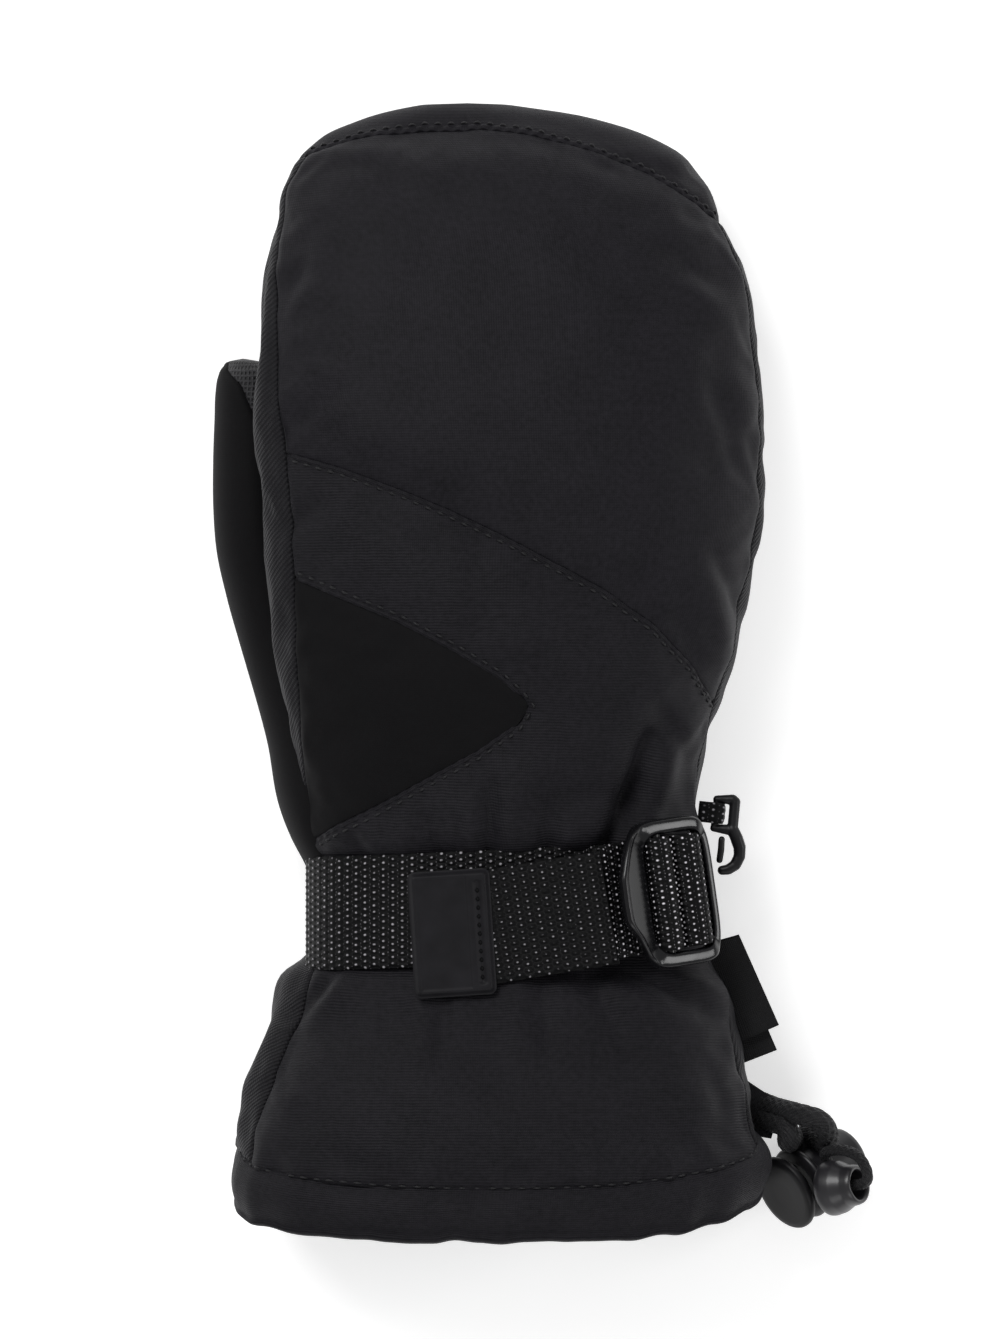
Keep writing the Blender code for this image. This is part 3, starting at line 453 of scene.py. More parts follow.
def webbing_material(name, light, lo, pu=2.15, pv=1.43):
    """Black yarn with painted highlights: columns of short floats painted light in the base colour where the gloss
    would catch the light, smaller painted ones between them, black elsewhere.
    """
    m, nt, p = principled(name)
    vec, u, v = uv_mm(nt)
    turn = math_node(nt, "MULTIPLY", u, math.pi / pu)
    painted_glint = math_node(nt, "MULTIPLY_ADD", noise_tex(nt, vec, 1.1, 2), 1.9, -0.08)
    col = math_node(nt, "POWER", math_node(nt, "ABSOLUTE", math_node(nt, "SINE", turn)), 6.0)
    odd = math_node(nt, "MODULO", math_node(nt, "FLOOR", math_node(nt, "MULTIPLY", u, 1 / pu)), 2.0)
    phase = math_node(nt, "MULTIPLY_ADD", odd, math.pi, math_node(nt, "MULTIPLY", v, 2 * math.pi / pv))
    dot = math_node(nt, "POWER", math_node(nt, "MULTIPLY_ADD", math_node(nt, "COSINE", phase), 0.5, 0.5), 1.9)
    gap = math_node(nt, "POWER", math_node(nt, "ABSOLUTE", math_node(nt, "COSINE", turn)), 8.0)
    dot2 = math_node(nt, "POWER", math_node(nt, "MULTIPLY_ADD", math_node(nt, "SINE", phase), 0.5, 0.5), 1.9)
    small = math_node(nt, "MULTIPLY", math_node(nt, "MULTIPLY", gap, dot2), 0.56)
    # tone: the painted highlights on the floats, their strength varied at random
    tone = math_node(nt, "MULTIPLY", math_node(nt, "MAXIMUM", math_node(nt, "MULTIPLY", col, dot), small), painted_glint)
    nt.links.new(colour_between(nt, tone, (0.0018, 0.0018, 0.0021), (light, 0.965 * light, 1.03 * light), lo, 1.0), p.inputs["Base Color"])
    p.inputs["Roughness"].default_value = 0.46
    p.inputs["Specular IOR Level"].default_value = 0.10
    set_bump(nt, p, math_node(nt, "MULTIPLY_ADD", noise_tex(nt, vec, 3.0, 2), 0.4, wave(nt, v, 0.22)), 0.3, 0.0001)
    return m


# One webbing with painted highlights in three strengths: the tail's are dimmer, those on the wrap and anchor in the
# buckle's window stronger.
WEB = webbing_material("webbing_yarn", 0.36, 0.36)
WEB_DIM_GLINTS = webbing_material("webbing_yarn_dim_painted_glints", 0.24, 0.54)
WEB_STRONG_GLINTS = webbing_material("webbing_yarn_strong_painted_glints", 0.70, 0.38, 1.75, 1.36)
RUBBER = plastic("rubber_tab", (0.0076, 0.0072, 0.0088), 0.55, 0.25, 0.14)
BLACK = plastic("moulded_plastic", (0.0062, 0.0062, 0.0072), 0.36, 0.12, 0.26)
BUCKLE_M = plastic("buckle_plastic", (0.0052, 0.0052, 0.0060), 0.20, 0.05, 0.30)
GLOSS = plastic("gloss_plastic", (0.0130, 0.0124, 0.0144), 0.34, 0.06, 0.44, 0.06)
# The barrel is the same plastic as the cap; its base colour is painted lighter, painted light on the barrel.
BARREL_LIT_M = plastic("barrel_plastic_painted_light", (0.0120, 0.0117, 0.0133), 0.34, 0.12, 0.34)
CAP = plastic("cap_plastic", (0.0058, 0.0056, 0.0064), 0.42, 0.12, 0.17)
FILL = plastic("fibre_wadding", (0.045, 0.045, 0.047), 0.90, 0.6, 0.2)
FILM = plastic("membrane_film", (0.030, 0.031, 0.034), 0.55, 0.2, 0.2)
ELASTIC = plastic("elastic_band", (0.05, 0.05, 0.052), 0.8, 0.5, 0.2)
STEEL, nt_, p_ = principled("spring_wire")
p_.inputs["Metallic"].default_value = 1.0
t_ = nt_.nodes.new("ShaderNodeTexCoord")
nt_.links.new(colour_between(nt_, noise_tex(nt_, t_.outputs["Object"], 900), (0.42, 0.43, 0.44), (0.6, 0.61, 0.62)), p_.inputs["Base Color"])
p_.inputs["Roughness"].default_value = 0.3


# ------------------------------------------------------------------ mesh helpers
def build(name, verts, faces, mat, uvs=None, smooth=True):
    me = bpy.data.meshes.new(name)
    me.from_pydata((np.asarray(verts) * MM).tolist(), [], [list(map(int, f)) for f in faces])
    me.validate()
    layer = me.uv_layers.new(name="cloth")
    if uvs is not None:
        loops = np.empty(len(me.loops), int)
        me.loops.foreach_get("vertex_index", loops)
        layer.data.foreach_set("uv", np.asarray(uvs, float)[loops].ravel())
    if smooth:
        me.shade_smooth()
    me.materials.append(mat)
    o = bpy.data.objects.new(name, me)
    bpy.context.scene.collection.objects.link(o)
    return o


def net_faces(nu, nv, ring=False, start=0):
    i, j = np.meshgrid(np.arange(nu if ring else nu - 1), np.arange(nv - 1), indexing="ij")
    k = (i + 1) % nu
    return (np.stack([i * nv + j, i * nv + j + 1, k * nv + j + 1, k * nv + j], -1).reshape(-1, 4) + start).tolist()


def thicken(o, mm, offset=-1.0):
    m = o.modifiers.new("cloth_thickness", "SOLIDIFY")
    m.thickness = mm * MM
    m.offset = offset
    m.use_even_offset = False
    return o


def finish_piece(o, body, nodes):
    if nodes:
        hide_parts(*nodes)
    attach(o, body)
    return o


def cloth_uv(theta, y):
    return np.stack([np.broadcast_to(theta, np.broadcast(theta, y).shape) * 0.86, np.broadcast_to(y, np.broadcast(theta, y).shape)], -1)


EDGE = -0.12         # each panel runs a little past its seam line, under its neighbour, mm and degrees


def roll_edges(q, n, sides, deep=0.36):
    """Turns the cloth under at its seams: the outermost row dips inward."""
    for axis, end in sides:
        sl = [slice(None)] * 2
        sl[axis] = 0 if end == 0 else -1
        q[tuple(sl)] -= n[tuple(sl)] * deep
    return q


def panel(name, t0, t1, low, high, nodes, mat, res=1.1, puff=1.0, thick=1.1):
    nu = max(12, int(abs(t1 - t0) * 0.86 / res))
    th = np.linspace(t0 + EDGE, t1 - EDGE, nu)
    lo, hi = low(th) + EDGE, high(th) - EDGE
    nv = max(12, int(np.max(hi - lo) / res))
    v = np.linspace(0, 1, nv)
    T = np.repeat(th[:, None], nv, 1)
    Y = lo[:, None] + (hi - lo)[:, None] * v[None]
    q, n = cloth_at(T, Y, puff)
    q = roll_edges(q, n, [(0, 0), (0, 1), (1, 0), (1, 1)])
    arc = np.concatenate([np.zeros((1, nv)), np.cumsum(np.linalg.norm(np.diff(sec(T, Y), axis=0), axis=-1), 0)])
    uv = np.stack([arc - arc[nu // 2], Y], -1)
    o = build(name, q.reshape(-1, 3), net_faces(nu, nv), mat, uv.reshape(-1, 2))
    thicken(o, thick)
    return finish_piece(o, "hand", nodes)


# ------------------------------------------------------------------ shell panels
panel("back", RIGHT, LEFT, band_y, tip_y, ["back_panel"], SHELL, 1.1, 1.3)
panel("side_thumb", LEFT, PALM_L, lambda t: np.full_like(t, WRIST_Y), tip_y, ["thumb_side_gusset"], TWILL, 1.2, 0.7)
panel("side_outer", PALM_R, 360 + RIGHT, lambda t: np.full_like(t, WRIST_Y), tip_y, ["outer_side_gusset"], TWILL, 1.2, 0.7)
panel("palm", PALM_L, PALM_R, lambda t: np.full_like(t, WRIST_Y), tip_y, ["palm_panel"], GRIP, 1.4, 0.8)
panel("insert", APEX_T - 0.4, LEFT, lambda t: low_y(t), lambda t: np.maximum(top_y(t), low_y(t) + 0.9), ["stretch_insert"], SOFT, 1.0, 0.25)
panel("cuff_back", RIGHT, LEFT, hem_top, lambda t: np.full_like(t, WRIST_Y), ["cuff_back_panel"], RIB, 1.1, 0.9)
panel("cuff_palm", LEFT, 360 + RIGHT, hem_top, lambda t: np.full_like(t, WRIST_Y), ["cuff_palm_panel"], TWILL, 1.4, 0.8)


def band_panel():
    """The diagonal band and the wrist below it, in one piece round the insert."""
    res = 1.05
    apex_y = float(low_y(APEX_T) + top_y(APEX_T)) / 2
    right = np.linspace(RIGHT + EDGE, APEX_T, int((APEX_T - RIGHT) * 0.86 / res))
    left = np.linspace(APEX_T, LEFT - EDGE, int((LEFT - APEX_T) * 0.86 / res))[1:]
    n_low, n_up = int((apex_y - WRIST_Y) / res), int((band_y(APEX_T) - apex_y) / res)
    verts, uvs, nrm, ids = [], [], [], {}
    faces = []

    def col(t, cut):
        lo, hi = WRIST_Y + EDGE, float(band_y(t)) - EDGE
        if cut:
            a, b = float(low_y(t)) - EDGE, float(top_y(t)) + EDGE
            if b < a:
                a = b = (a + b) / 2
        else:
            share = (apex_y - WRIST_Y) / (float(band_y(APEX_T)) - WRIST_Y)
            a = b = lo + (hi - lo) * share
        return np.concatenate([np.linspace(lo, a, n_low), np.linspace(b, hi, n_up)])

    cols = [(t, col(t, False), False) for t in right] + [(t, col(t, True), True) for t in left]
    T = np.array([[t] * (n_low + n_up) for t, _, _ in cols])
    Y = np.array([y for _, y, _ in cols])
    q, n = cloth_at(T, Y, 0.75)
    k0 = len(right) - 1
    q[0] -= 0.36 * n[0]
    q[-1] -= 0.36 * n[-1]
    q[:, 0] -= 0.36 * n[:, 0]
    q[:, -1] -= 0.36 * n[:, -1]
    for s in (n_low - 1, n_low):
        q[k0 + 1:, s] -= n[k0 + 1:, s] * 0.45
    nv = n_low + n_up
    for i in range(len(cols) - 1):
        for j in range(nv - 1):
            if j == n_low - 1 and i >= k0:
                continue
            faces.append([i * nv + j, i * nv + j + 1, (i + 1) * nv + j + 1, (i + 1) * nv + j])
    o = build("band", q.reshape(-1, 3), faces, RIB, cloth_uv(T, Y).reshape(-1, 2))
    bm = bmesh.new()
    bm.from_mesh(o.data)
    bmesh.ops.remove_doubles(bm, verts=bm.verts, dist=0.00002)
    bm.to_mesh(o.data)
    bm.free()
    thicken(o, 1.1)
    finish_piece(o, "hand", ["knuckle_band_panel"])


band_panel()


def tip_panel():
    th = np.linspace(0, 360, 301)[:-1]
    lo = tip_y(th) - 0.15 - 0.019 * (125.4 - tip_y(th))
    rows = 26
    v = np.linspace(0, 1, rows) ** 0.8
    T = np.repeat(th[:, None], rows, 1)
    Y = lo[:, None] + (125.4 - lo)[:, None] * v[None]
    q, n = cloth_at(T, Y, 1.2)
    # the very end is drawn together smoothly
    end = np.array((-7.5, 126.6, 16.0))
    w = ramp(Y, 121.5, 125.4)[..., None]
    flat = sec(T, np.minimum(Y, 124.6))
    q = q * (1 - w) + (flat + (0, 0.9, 0)) * w
    q[:, 0] -= 0.55 * n[:, 0]
    verts = np.concatenate([q.reshape(-1, 3), end[None] + (0, -0.4, 0)])
    uv = np.concatenate([cloth_uv(T, Y).reshape(-1, 2), [[0, 126]]])
    faces = net_faces(300, rows, True)
    c = 300 * rows
    faces += [[i * rows + rows - 1, c, (i + 1) % 300 * rows + rows - 1] for i in range(300)]
    o = build("fingertip", verts, faces, SHELL, uv)
    sm = o.modifiers.new("soften", "SMOOTH")
    sm.factor, sm.iterations = 0.4, 2
    thicken(o, 1.0)
    finish_piece(o, "hand", ["fingertip_panel"])


tip_panel()


def hem_band():
    """Hem: a soft rolled band round the cuff's end, turned in over the drawcord, with the facing inside it."""
    n_t = 460
    th = np.linspace(0, 360, n_t + 1)[:-1]
    top, end = hem_top(th), hem_end(th)
    p_mid = sec(th, (top + end) / 2)
    end = end + 0.75 * noise(p_mid * (1, 0.2, 1), 5.0, 41.0) + 0.25 * noise(p_mid, 14.0, 47.0)
    rows = []
    ripple = noise(p_mid * (1, 0.15, 1), 4.6, 51.0)
    p, n = sec(th, top + 1.2), normals(th, top + 1.2)
    rows.append((p - n * 0.95, top + 1.2))
    for v in np.linspace(0, 1, 15):
        y = top - EDGE + (end - top + 1.3) * v
        p, n = sec(th, y), normals(th, y)
        lift = 0.9 * math.sin(math.pi * min(1.0, 0.06 + 0.94 * v)) ** 0.8 - 0.30 * (1 - v) ** 8 - 0.1 - 0.6 * v ** 3
        rows.append((p + n * (lift + 0.55 * ripple * (0.4 + 0.6 * v))[:, None], y))
    for a in np.linspace(0.15, 1, 7) * math.pi:
        # rounded lower edge, 4.6 mm thick
        d = 2.3 - 2.3 * math.cos(a)
        y = end + 1.3 - 1.5 * math.sin(a)
        p, n = sec(th, y), normals(th, y)
        rows.append((p - n * (d - 0.3 * math.sin(a))[..., None] if np.ndim(d) else p - n * d + n * (0.55 * ripple * (1 - a / math.pi))[:, None], y))
    q = np.stack([r[0] for r in rows], 1)
    y_ = np.stack([np.broadcast_to(r[1], th.shape) for r in rows], 1)
    q[..., 2] = np.maximum(q[..., 2], 0.05)
    nv = q.shape[1]
    arc = np.cumsum(np.full(nv, 1.0))
    uv = np.stack([np.repeat(th[:, None], nv, 1) * 0.9, -112 - np.repeat(arc[None], n_t, 0)], -1)
    faces = [f[::-1] for f in net_faces(n_t, nv, True)]
    o = build("hem", q.reshape(-1, 3), faces, RIB, uv.reshape(-1, 2))
    thicken(o, 0.8)
    finish_piece(o, "hand", ["hem_outer"])
    # facing, from the turned edge up to the lining
    rows = []
    for v in np.linspace(0, 1, 16):
        y = end + 1.6 + (-100.5 - end) * v
        depth = 4.9 + 0.6 * math.sin(math.pi * v) + 2.4 * v * v
        p, n = sec(th, y), normals(th, y)
        rows.append(p - n * (depth + 0.6 * ripple * (1 - 0.5 * v))[:, None])
    q = np.stack(rows, 1)
    uv = np.stack([np.repeat(th[:, None], 16, 1) * 0.8, np.repeat(np.linspace(0, 22, 16)[None], n_t, 0)], -1)
    o = build("facing", q.reshape(-1, 3), [f[::-1] for f in net_faces(n_t, 16, True)], SHELL, uv.reshape(-1, 2))
    thicken(o, 0.8, 1.0)
    finish_piece(o, "hand", ["hem_facing", "hem_drawcord"])


hem_band()


def bag(name, depth, first, last, mat, nodes, thick, wobble, room, n_t=180, rows=110):
    """A closed bag under the shell, open at the cuff."""
    th = np.linspace(0, 360, n_t + 1)[:-1]
    ys = np.linspace(first, last, rows)
    T, Y = np.meshgrid(th, ys, indexing="ij")
    p, n = sec(T, Y, depth), normals(T, Y)
    h = height(T, Y, sec(T, Y), 0.7)
    for _ in range(2):
        h = np.minimum(h, np.minimum(np.roll(h, 1, 0), np.roll(h, -1, 0)))
        e = np.pad(h, ((0, 0), (1, 1)), "edge")
        h = np.minimum(h, np.minimum(e[:, :-2], e[:, 2:]))
    sunk = np.maximum(0.0, room - h - depth)
    q = p + n * (wobble * noise(p, 13.0, 5.0) + 0.7 * wobble * noise(p * (1, 0.3, 1), 6.0, 11.0) - 0.5 - sunk)[..., None]
    c = n_t * rows
    verts = np.concatenate([q.reshape(-1, 3), q[:, -1].mean(0)[None] + (0, 1.0, 0)])
    uv = np.concatenate([cloth_uv(T, Y).reshape(-1, 2), [[0, 104]]])
    faces = net_faces(n_t, rows, True) + [[i * rows + rows - 1, c, (i + 1) % n_t * rows + rows - 1] for i in range(n_t)]
    o = build(name, verts, faces, mat, uv)
    thicken(o, thick)
    finish_piece(o, "hand", nodes)


bag("lining_bag", 8.6, -102.5, 103, FLEECE, ["lining"], 0.9, 0.7, 5.2)
bag("wadding", 4.9, -98, 108, FILL, ["insulation"], 2.0, 0.35, 2.0, 120, 80)
bag("membrane_bag", 3.2, -99, 111, FILM, ["waterproof_insert"], 0.3, 0.12, 1.4, 120, 80)


def wrist_band():
    """Elastic round the wrist under the shell, ruffled by the cloth it gathers."""
    th = np.linspace(0, 360, 241)[:-1]
    ys = np.linspace(-60.5, -46.5, 16)
    T, Y = np.meshgrid(th, ys, indexing="ij")
    q = sec(T, Y, 2.1) + normals(T, Y) * (0.18 * np.sin(np.radians(T) * 40))[..., None]
    o = build("wrist_band", q.reshape(-1, 3), net_faces(240, 16, True), ELASTIC, cloth_uv(T, Y).reshape(-1, 2))
    thicken(o, 0.3)
    finish_piece(o, "hand", ["wrist_elastic"])


wrist_band()
NODES["cord_lock_spring"].material_slots[0].material = STEEL


# ------------------------------------------------------------------ thumb
THUMB = np.array([(-50, -36.0, 4.5, 8.0, 24.0), (-43.2, -37.9, 5.2, 11.0, 23.0), (-38, -39.9, 5.8, 12.2, 22.0), (-30, -41.8, 6.9, 14.2, 20.0), (-16, -44.0, 7.8, 12.6, 17.0), (-4, -46.5, 8.2, 11.6, 15.0),
                  (6.5, -49.4, 8.5, 11.6, 13.8), (16, -51.9, 8.7, 12.2, 13.6), (26, -54.0, 8.8, 12.5, 14), (36, -54.8, 8.8, 12.6, 14), (46, -55.1, 8.7, 12.4, 14), (56, -55.4, 8.1, 11.8, 14),
                  (61.5, -55.9, 7.4, 10.8, 14), (65, -56.4, 6.4, 9.0, 14), (67.4, -57.0, 4.9, 6.4, 14), (68.7, -57.4, 2.9, 3.6, 14), (69.2, -57.6, 0.05, 0.06, 14)], float)
THUMB_SLOPE = np.gradient(THUMB[:, 1:], THUMB[:, 0], axis=0)


def thumb_at(phi, y, lift=0.0):
    ys = THUMB[:, 0]
    i = np.clip(np.searchsorted(ys, y) - 1, 0, len(ys) - 2)
    h = (ys[i + 1] - ys[i])[..., None]
    t = ((y - ys[i]) / h[..., 0])[..., None]
    x0, a, b, z0 = np.moveaxis((1 + 2 * t) * (1 - t) ** 2 * THUMB[i, 1:] + t * (1 - t) ** 2 * h * THUMB_SLOPE[i] + t * t * (3 - 2 * t) * THUMB[i + 1, 1:] + t * t * (t - 1) * h * THUMB_SLOPE[i + 1], -1, 0)
    a, b = np.maximum(a, 0.05) + lift, np.maximum(b, 0.05) + lift
    return np.stack([x0 + a * np.cos(np.radians(phi)), y, z0 + b * np.sin(np.radians(phi))], -1)


def seam_up(y):
    return np.interp(y, [-50, 5, 10, 20, 40, 50, 55.5, 63, 66, 69.2], [40, 45, 60, 60, 70, 78, 84, 105, 135, 150])


def seam_down(y):
    return np.interp(y, [-50, 0, 25, 70], [352, 348, 297, 297])


def thumb_panel(name, first, last, y0, node_name, mat, nu, nv):
    u = np.linspace(0, 1, nu)
    y = y0 + (69.2 - y0) * (1 - (1 - np.linspace(0, 1, nv)) ** 1.25)
    U, Y = np.meshgrid(u, y, indexing="ij")
    f0, f1 = first(Y) - 0.8, last(Y) + 0.8
    F = f0 + (f1 - f0) * U
    edge = np.minimum(F - f0, f1 - F) * 0.18
    p = thumb_at(F, Y)
    lift = 0.55 * (1 - np.exp(-(edge / 3.0) ** 2)) - 0.5 * np.exp(-(edge / 0.7) ** 2) + 0.45 * noise(p, 16, 61.0) + 0.3 * noise(p * (1, 0.5, 1), 5, 67.0) * np.exp(-edge / 4)
    lift += 0.5 * noise(p * (1, 0.45, 1), 9.0, 77.0) * bump(Y, 8, 16)
    q = thumb_at(F, Y, lift * ramp(70 - Y, 0.8, 6))
    q[..., 2] = np.maximum(q[..., 2], 0.1)
    o = build(name, q.reshape(-1, 3), net_faces(nu, nv), mat, np.stack([F * 0.19, Y], -1).reshape(-1, 2))
    thicken(o, 1.0)
    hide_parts(node_name)
    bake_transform(o)


# the stretch fabric of the thumb runs on down the side of the hand to the wrist
thumb_panel("thumb_outer", seam_up, seam_down, -49.5, "thumb_back", SOFT, 72, 150)
thumb_panel("thumb_inner", lambda y: seam_down(y) - 360, seam_up, 1.0, "thumb_grip", GRIP, 56, 84)


def thumb_layer(name, lift, y0, y1, node_name, mat, thick):
    f = np.linspace(0, 360, 65)[:-1]
    y = np.linspace(y0, y1, 44)
    F, Y = np.meshgrid(f, y, indexing="ij")
    p = thumb_at(F, Y)
    q = thumb_at(F, Y, lift + 0.25 * noise(p, 7.0, 83.0))
    verts = np.concatenate([q.reshape(-1, 3), q[:, -1].mean(0)[None] + (0, 0.6, 0)])
    faces = net_faces(64, 44, True) + [[i * 44 + 43, 64 * 44, (i + 1) % 64 * 44 + 43] for i in range(64)]
    uv = np.concatenate([np.stack([F * 0.15, Y], -1).reshape(-1, 2), [[0, y1]]])
    o = build(name, verts, faces, mat, uv)
    thicken(o, thick)
    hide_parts(node_name)
    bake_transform(o)


thumb_layer("thumb_wadding", -2.0, 6.0, 64.5, "thumb_insulation", FILL, 1.6)
thumb_layer("thumb_fleece", -4.6, 6.0, 61.5, "thumb_lining", FLEECE, 0.8)


# ------------------------------------------------------------------ webbing
YAW, TILT = math.radians(8), math.radians(30)
BUCKLE_AT = Vector((46.0, -47.6, 41.4))
ex = Vector((-math.cos(TILT) * math.cos(YAW), -math.cos(TILT) * math.sin(YAW), math.sin(TILT)))
ey = Vector((math.sin(YAW), -math.cos(YAW), 0))
ez = ex.cross(ey)
BUCKLE = Matrix.Translation(BUCKLE_AT) @ Matrix((ex, ey, ez)).transposed().to_4x4()
TAIL_YAW = math.radians(9.5)
TAIL = Matrix.Translation((23.0, -52.0, 0)) @ Matrix.Rotation(TAIL_YAW, 4, "Z")


def resample(c, w, step):
    """Even steps along a path of centres, with the width directions carried along, both rounded off."""
    c, w = np.asarray(c, float), np.asarray(w, float)
    s = np.concatenate([[0], np.cumsum(np.linalg.norm(np.diff(c, axis=0), axis=1))])
    fine = np.linspace(0, s[-1], 400)
    c = np.stack([np.interp(fine, s, c[:, k]) for k in range(3)], -1)
    w = np.stack([np.interp(fine, s, w[:, k]) for k in range(3)], -1)
    for _ in range(14):
        c[1:-1] = 0.25 * c[:-2] + 0.5 * c[1:-1] + 0.25 * c[2:]
    s = np.concatenate([[0], np.cumsum(np.linalg.norm(np.diff(c, axis=0), axis=1))])
    out = np.linspace(0, s[-1], max(8, int(s[-1] / step)))
    c = np.stack([np.interp(out, s, c[:, k]) for k in range(3)], -1)
    w = np.stack([np.interp(out, s, w[:, k]) for k in range(3)], -1)
    return c, w / np.linalg.norm(w, axis=1, keepdims=True), out


def webbing(name, centres, widths, width, up, thick=1.15, step=0.27, nw=118, weave=0.34, flip=False, start_u=0.0, mat=None, pitch=(2.15, 1.43)):
    """A woven band: ribs across it, each a row of short floats, as real geometry."""
    c, w, s = resample(centres, widths, step)
    t = np.gradient(c, axis=0)
    t /= np.linalg.norm(t, axis=1, keepdims=True)
    n = np.cross(t, w)
    n /= np.linalg.norm(n, axis=1, keepdims=True)
    if np.mean(n @ np.asarray(up, float)) < 0:
        n = -n
    v = np.linspace(-width / 2, width / 2, nw)
    U, V = np.meshgrid(s + start_u, v, indexing="ij")
    k = np.floor(U / pitch[0])
    h = weave * np.abs(np.sin(math.pi * U / pitch[0])) ** 0.8 * (0.5 + 0.5 * np.cos(2 * math.pi * (V / pitch[1] + 0.5 * np.mod(k, 2))))
    h -= 0.35 * ramp(np.abs(V), width / 2 - 0.9, width / 2)
    q = c[:, None] + w[:, None] * V[..., None] + n[:, None] * (thick / 2 + h)[..., None]
    low = c[:, None] + w[:, None] * (V * 0.995)[..., None] - n[:, None] * (thick / 2 + 0.6 * h - 0.1)[..., None]
    ns = len(s)
    verts = np.concatenate([q.reshape(-1, 3), low.reshape(-1, 3)])
    top = net_faces(ns, nw)
    off = ns * nw
    probe = np.cross(q[1, 0] - q[0, 0], q[0, 1] - q[0, 0])
    outward = probe @ n[0] > 0
    if outward:
        top = [f[::-1] for f in top]
    faces = top + [[i + off for i in f[::-1]] for f in top]
    rim = [(i, i + 1) for i in range(nw - 1)] + [(i * nw + nw - 1, (i + 1) * nw + nw - 1) for i in range(ns - 1)] + [((ns - 1) * nw + i + 1, (ns - 1) * nw + i) for i in range(nw - 2, -1, -1)] + [((i + 1) * nw, i * nw) for i in range(ns - 2, -1, -1)]
    for a, b in rim:
        faces.append([a, b, b + off, a + off] if outward else [b, a, a + off, b + off])
    uv = np.concatenate([np.stack([U, V], -1).reshape(-1, 2)] * 2)
    return build(name, verts, faces, mat or WEB, uv)


# the strap: from the thumb-side seam over the wrist and in under the buckle to its cross bar
th = np.linspace(160, 72, 90)
mid = sec(th[:, None], np.linspace(-60, -45, 9)[None], -1.45)
wrist = np.stack([mid[..., 0].mean(1), -53.9 + 3.2 * (mid[..., 0].mean(1) + 43) / 68, mid[..., 2].mean(1)], -1)
out_dir = normals(th, np.full(90, -53.8))
wrist += out_dir * np.array([0.9]) * ramp(th, 60, 100)[:, None] * 0.6
under = [BUCKLE @ Vector((x, 0, z)) for x, z in ((24.4, -6.5), (19, -5.6), (12, -4.25), (9.9, -3.75))]
centres = np.concatenate([wrist, [tuple(v) for v in under]])
widths = np.concatenate([np.repeat([[0, 1, 0]], 90, 0), np.repeat([tuple(-ey)], 4, 0)])
strap = webbing("strap", centres, widths, 25.0, (0, 0, 1))
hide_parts("wrist_strap")
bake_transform(strap)

fold = [(10.3, -3.6), (10.2, -2.0), (10.2, 0.6), (10.8, 2.2), (12.4, 3.0), (14.0, 3.0), (15.0, 2.2), (15.5, 0.6), (15.7, -0.8), (16.7, -1.8), (20, -1.95), (26.2, -1.9)]
wrap = webbing("strap_wrap", [tuple(BUCKLE @ Vector((x, 0, z))) for x, z in fold], [tuple(-ey)] * len(fold), 25.0, tuple(ez), flip=True, mat=WEB_STRONG_GLINTS, pitch=(1.75, 1.36))
finish_piece(wrap, "buckle", ["strap_fold"])

tail_pts = [(0.6, 53.4), (-0.6, 53.0), (-6, 52.4), (-14, 51.4), (-22, 50.6), (-29, 50.4)]
tail = webbing("tail", [tuple(TAIL @ Vector((x, 0, z))) for x, z in tail_pts], [tuple(TAIL.to_3x3() @ Vector((0, 1, 0)))] * len(tail_pts), 25.0, (0, 0, 1), start_u=0.6, mat=WEB_DIM_GLINTS)
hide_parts("strap_tail")
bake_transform(tail)

loop = [(8.7, -3.2), (8.7, -1.2), (8.6, 0.8), (7.8, 2.1), (6.2, 2.7), (4.2, 2.6), (2.9, 1.6), (2.4, 0.0), (2.2, -2.6), (0.4, -4.6), (-2.6, -7.6), (-5.6, -12.5)]
anchor = webbing("anchor", [tuple(BUCKLE @ Vector((x, 0, z))) for x, z in loop], [tuple(ey)] * len(loop), 24.6, tuple(ez - ex), thick=1.0, mat=WEB_STRONG_GLINTS, pitch=(1.75, 1.36))
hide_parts("buckle_anchor_loop")
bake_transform(anchor)


# ------------------------------------------------------------------ rubber pull tab
TAB = TAIL @ Matrix.Translation((-34.4, 0, 0)) @ Matrix.Rotation(math.radians(-5.8), 4, "Z")


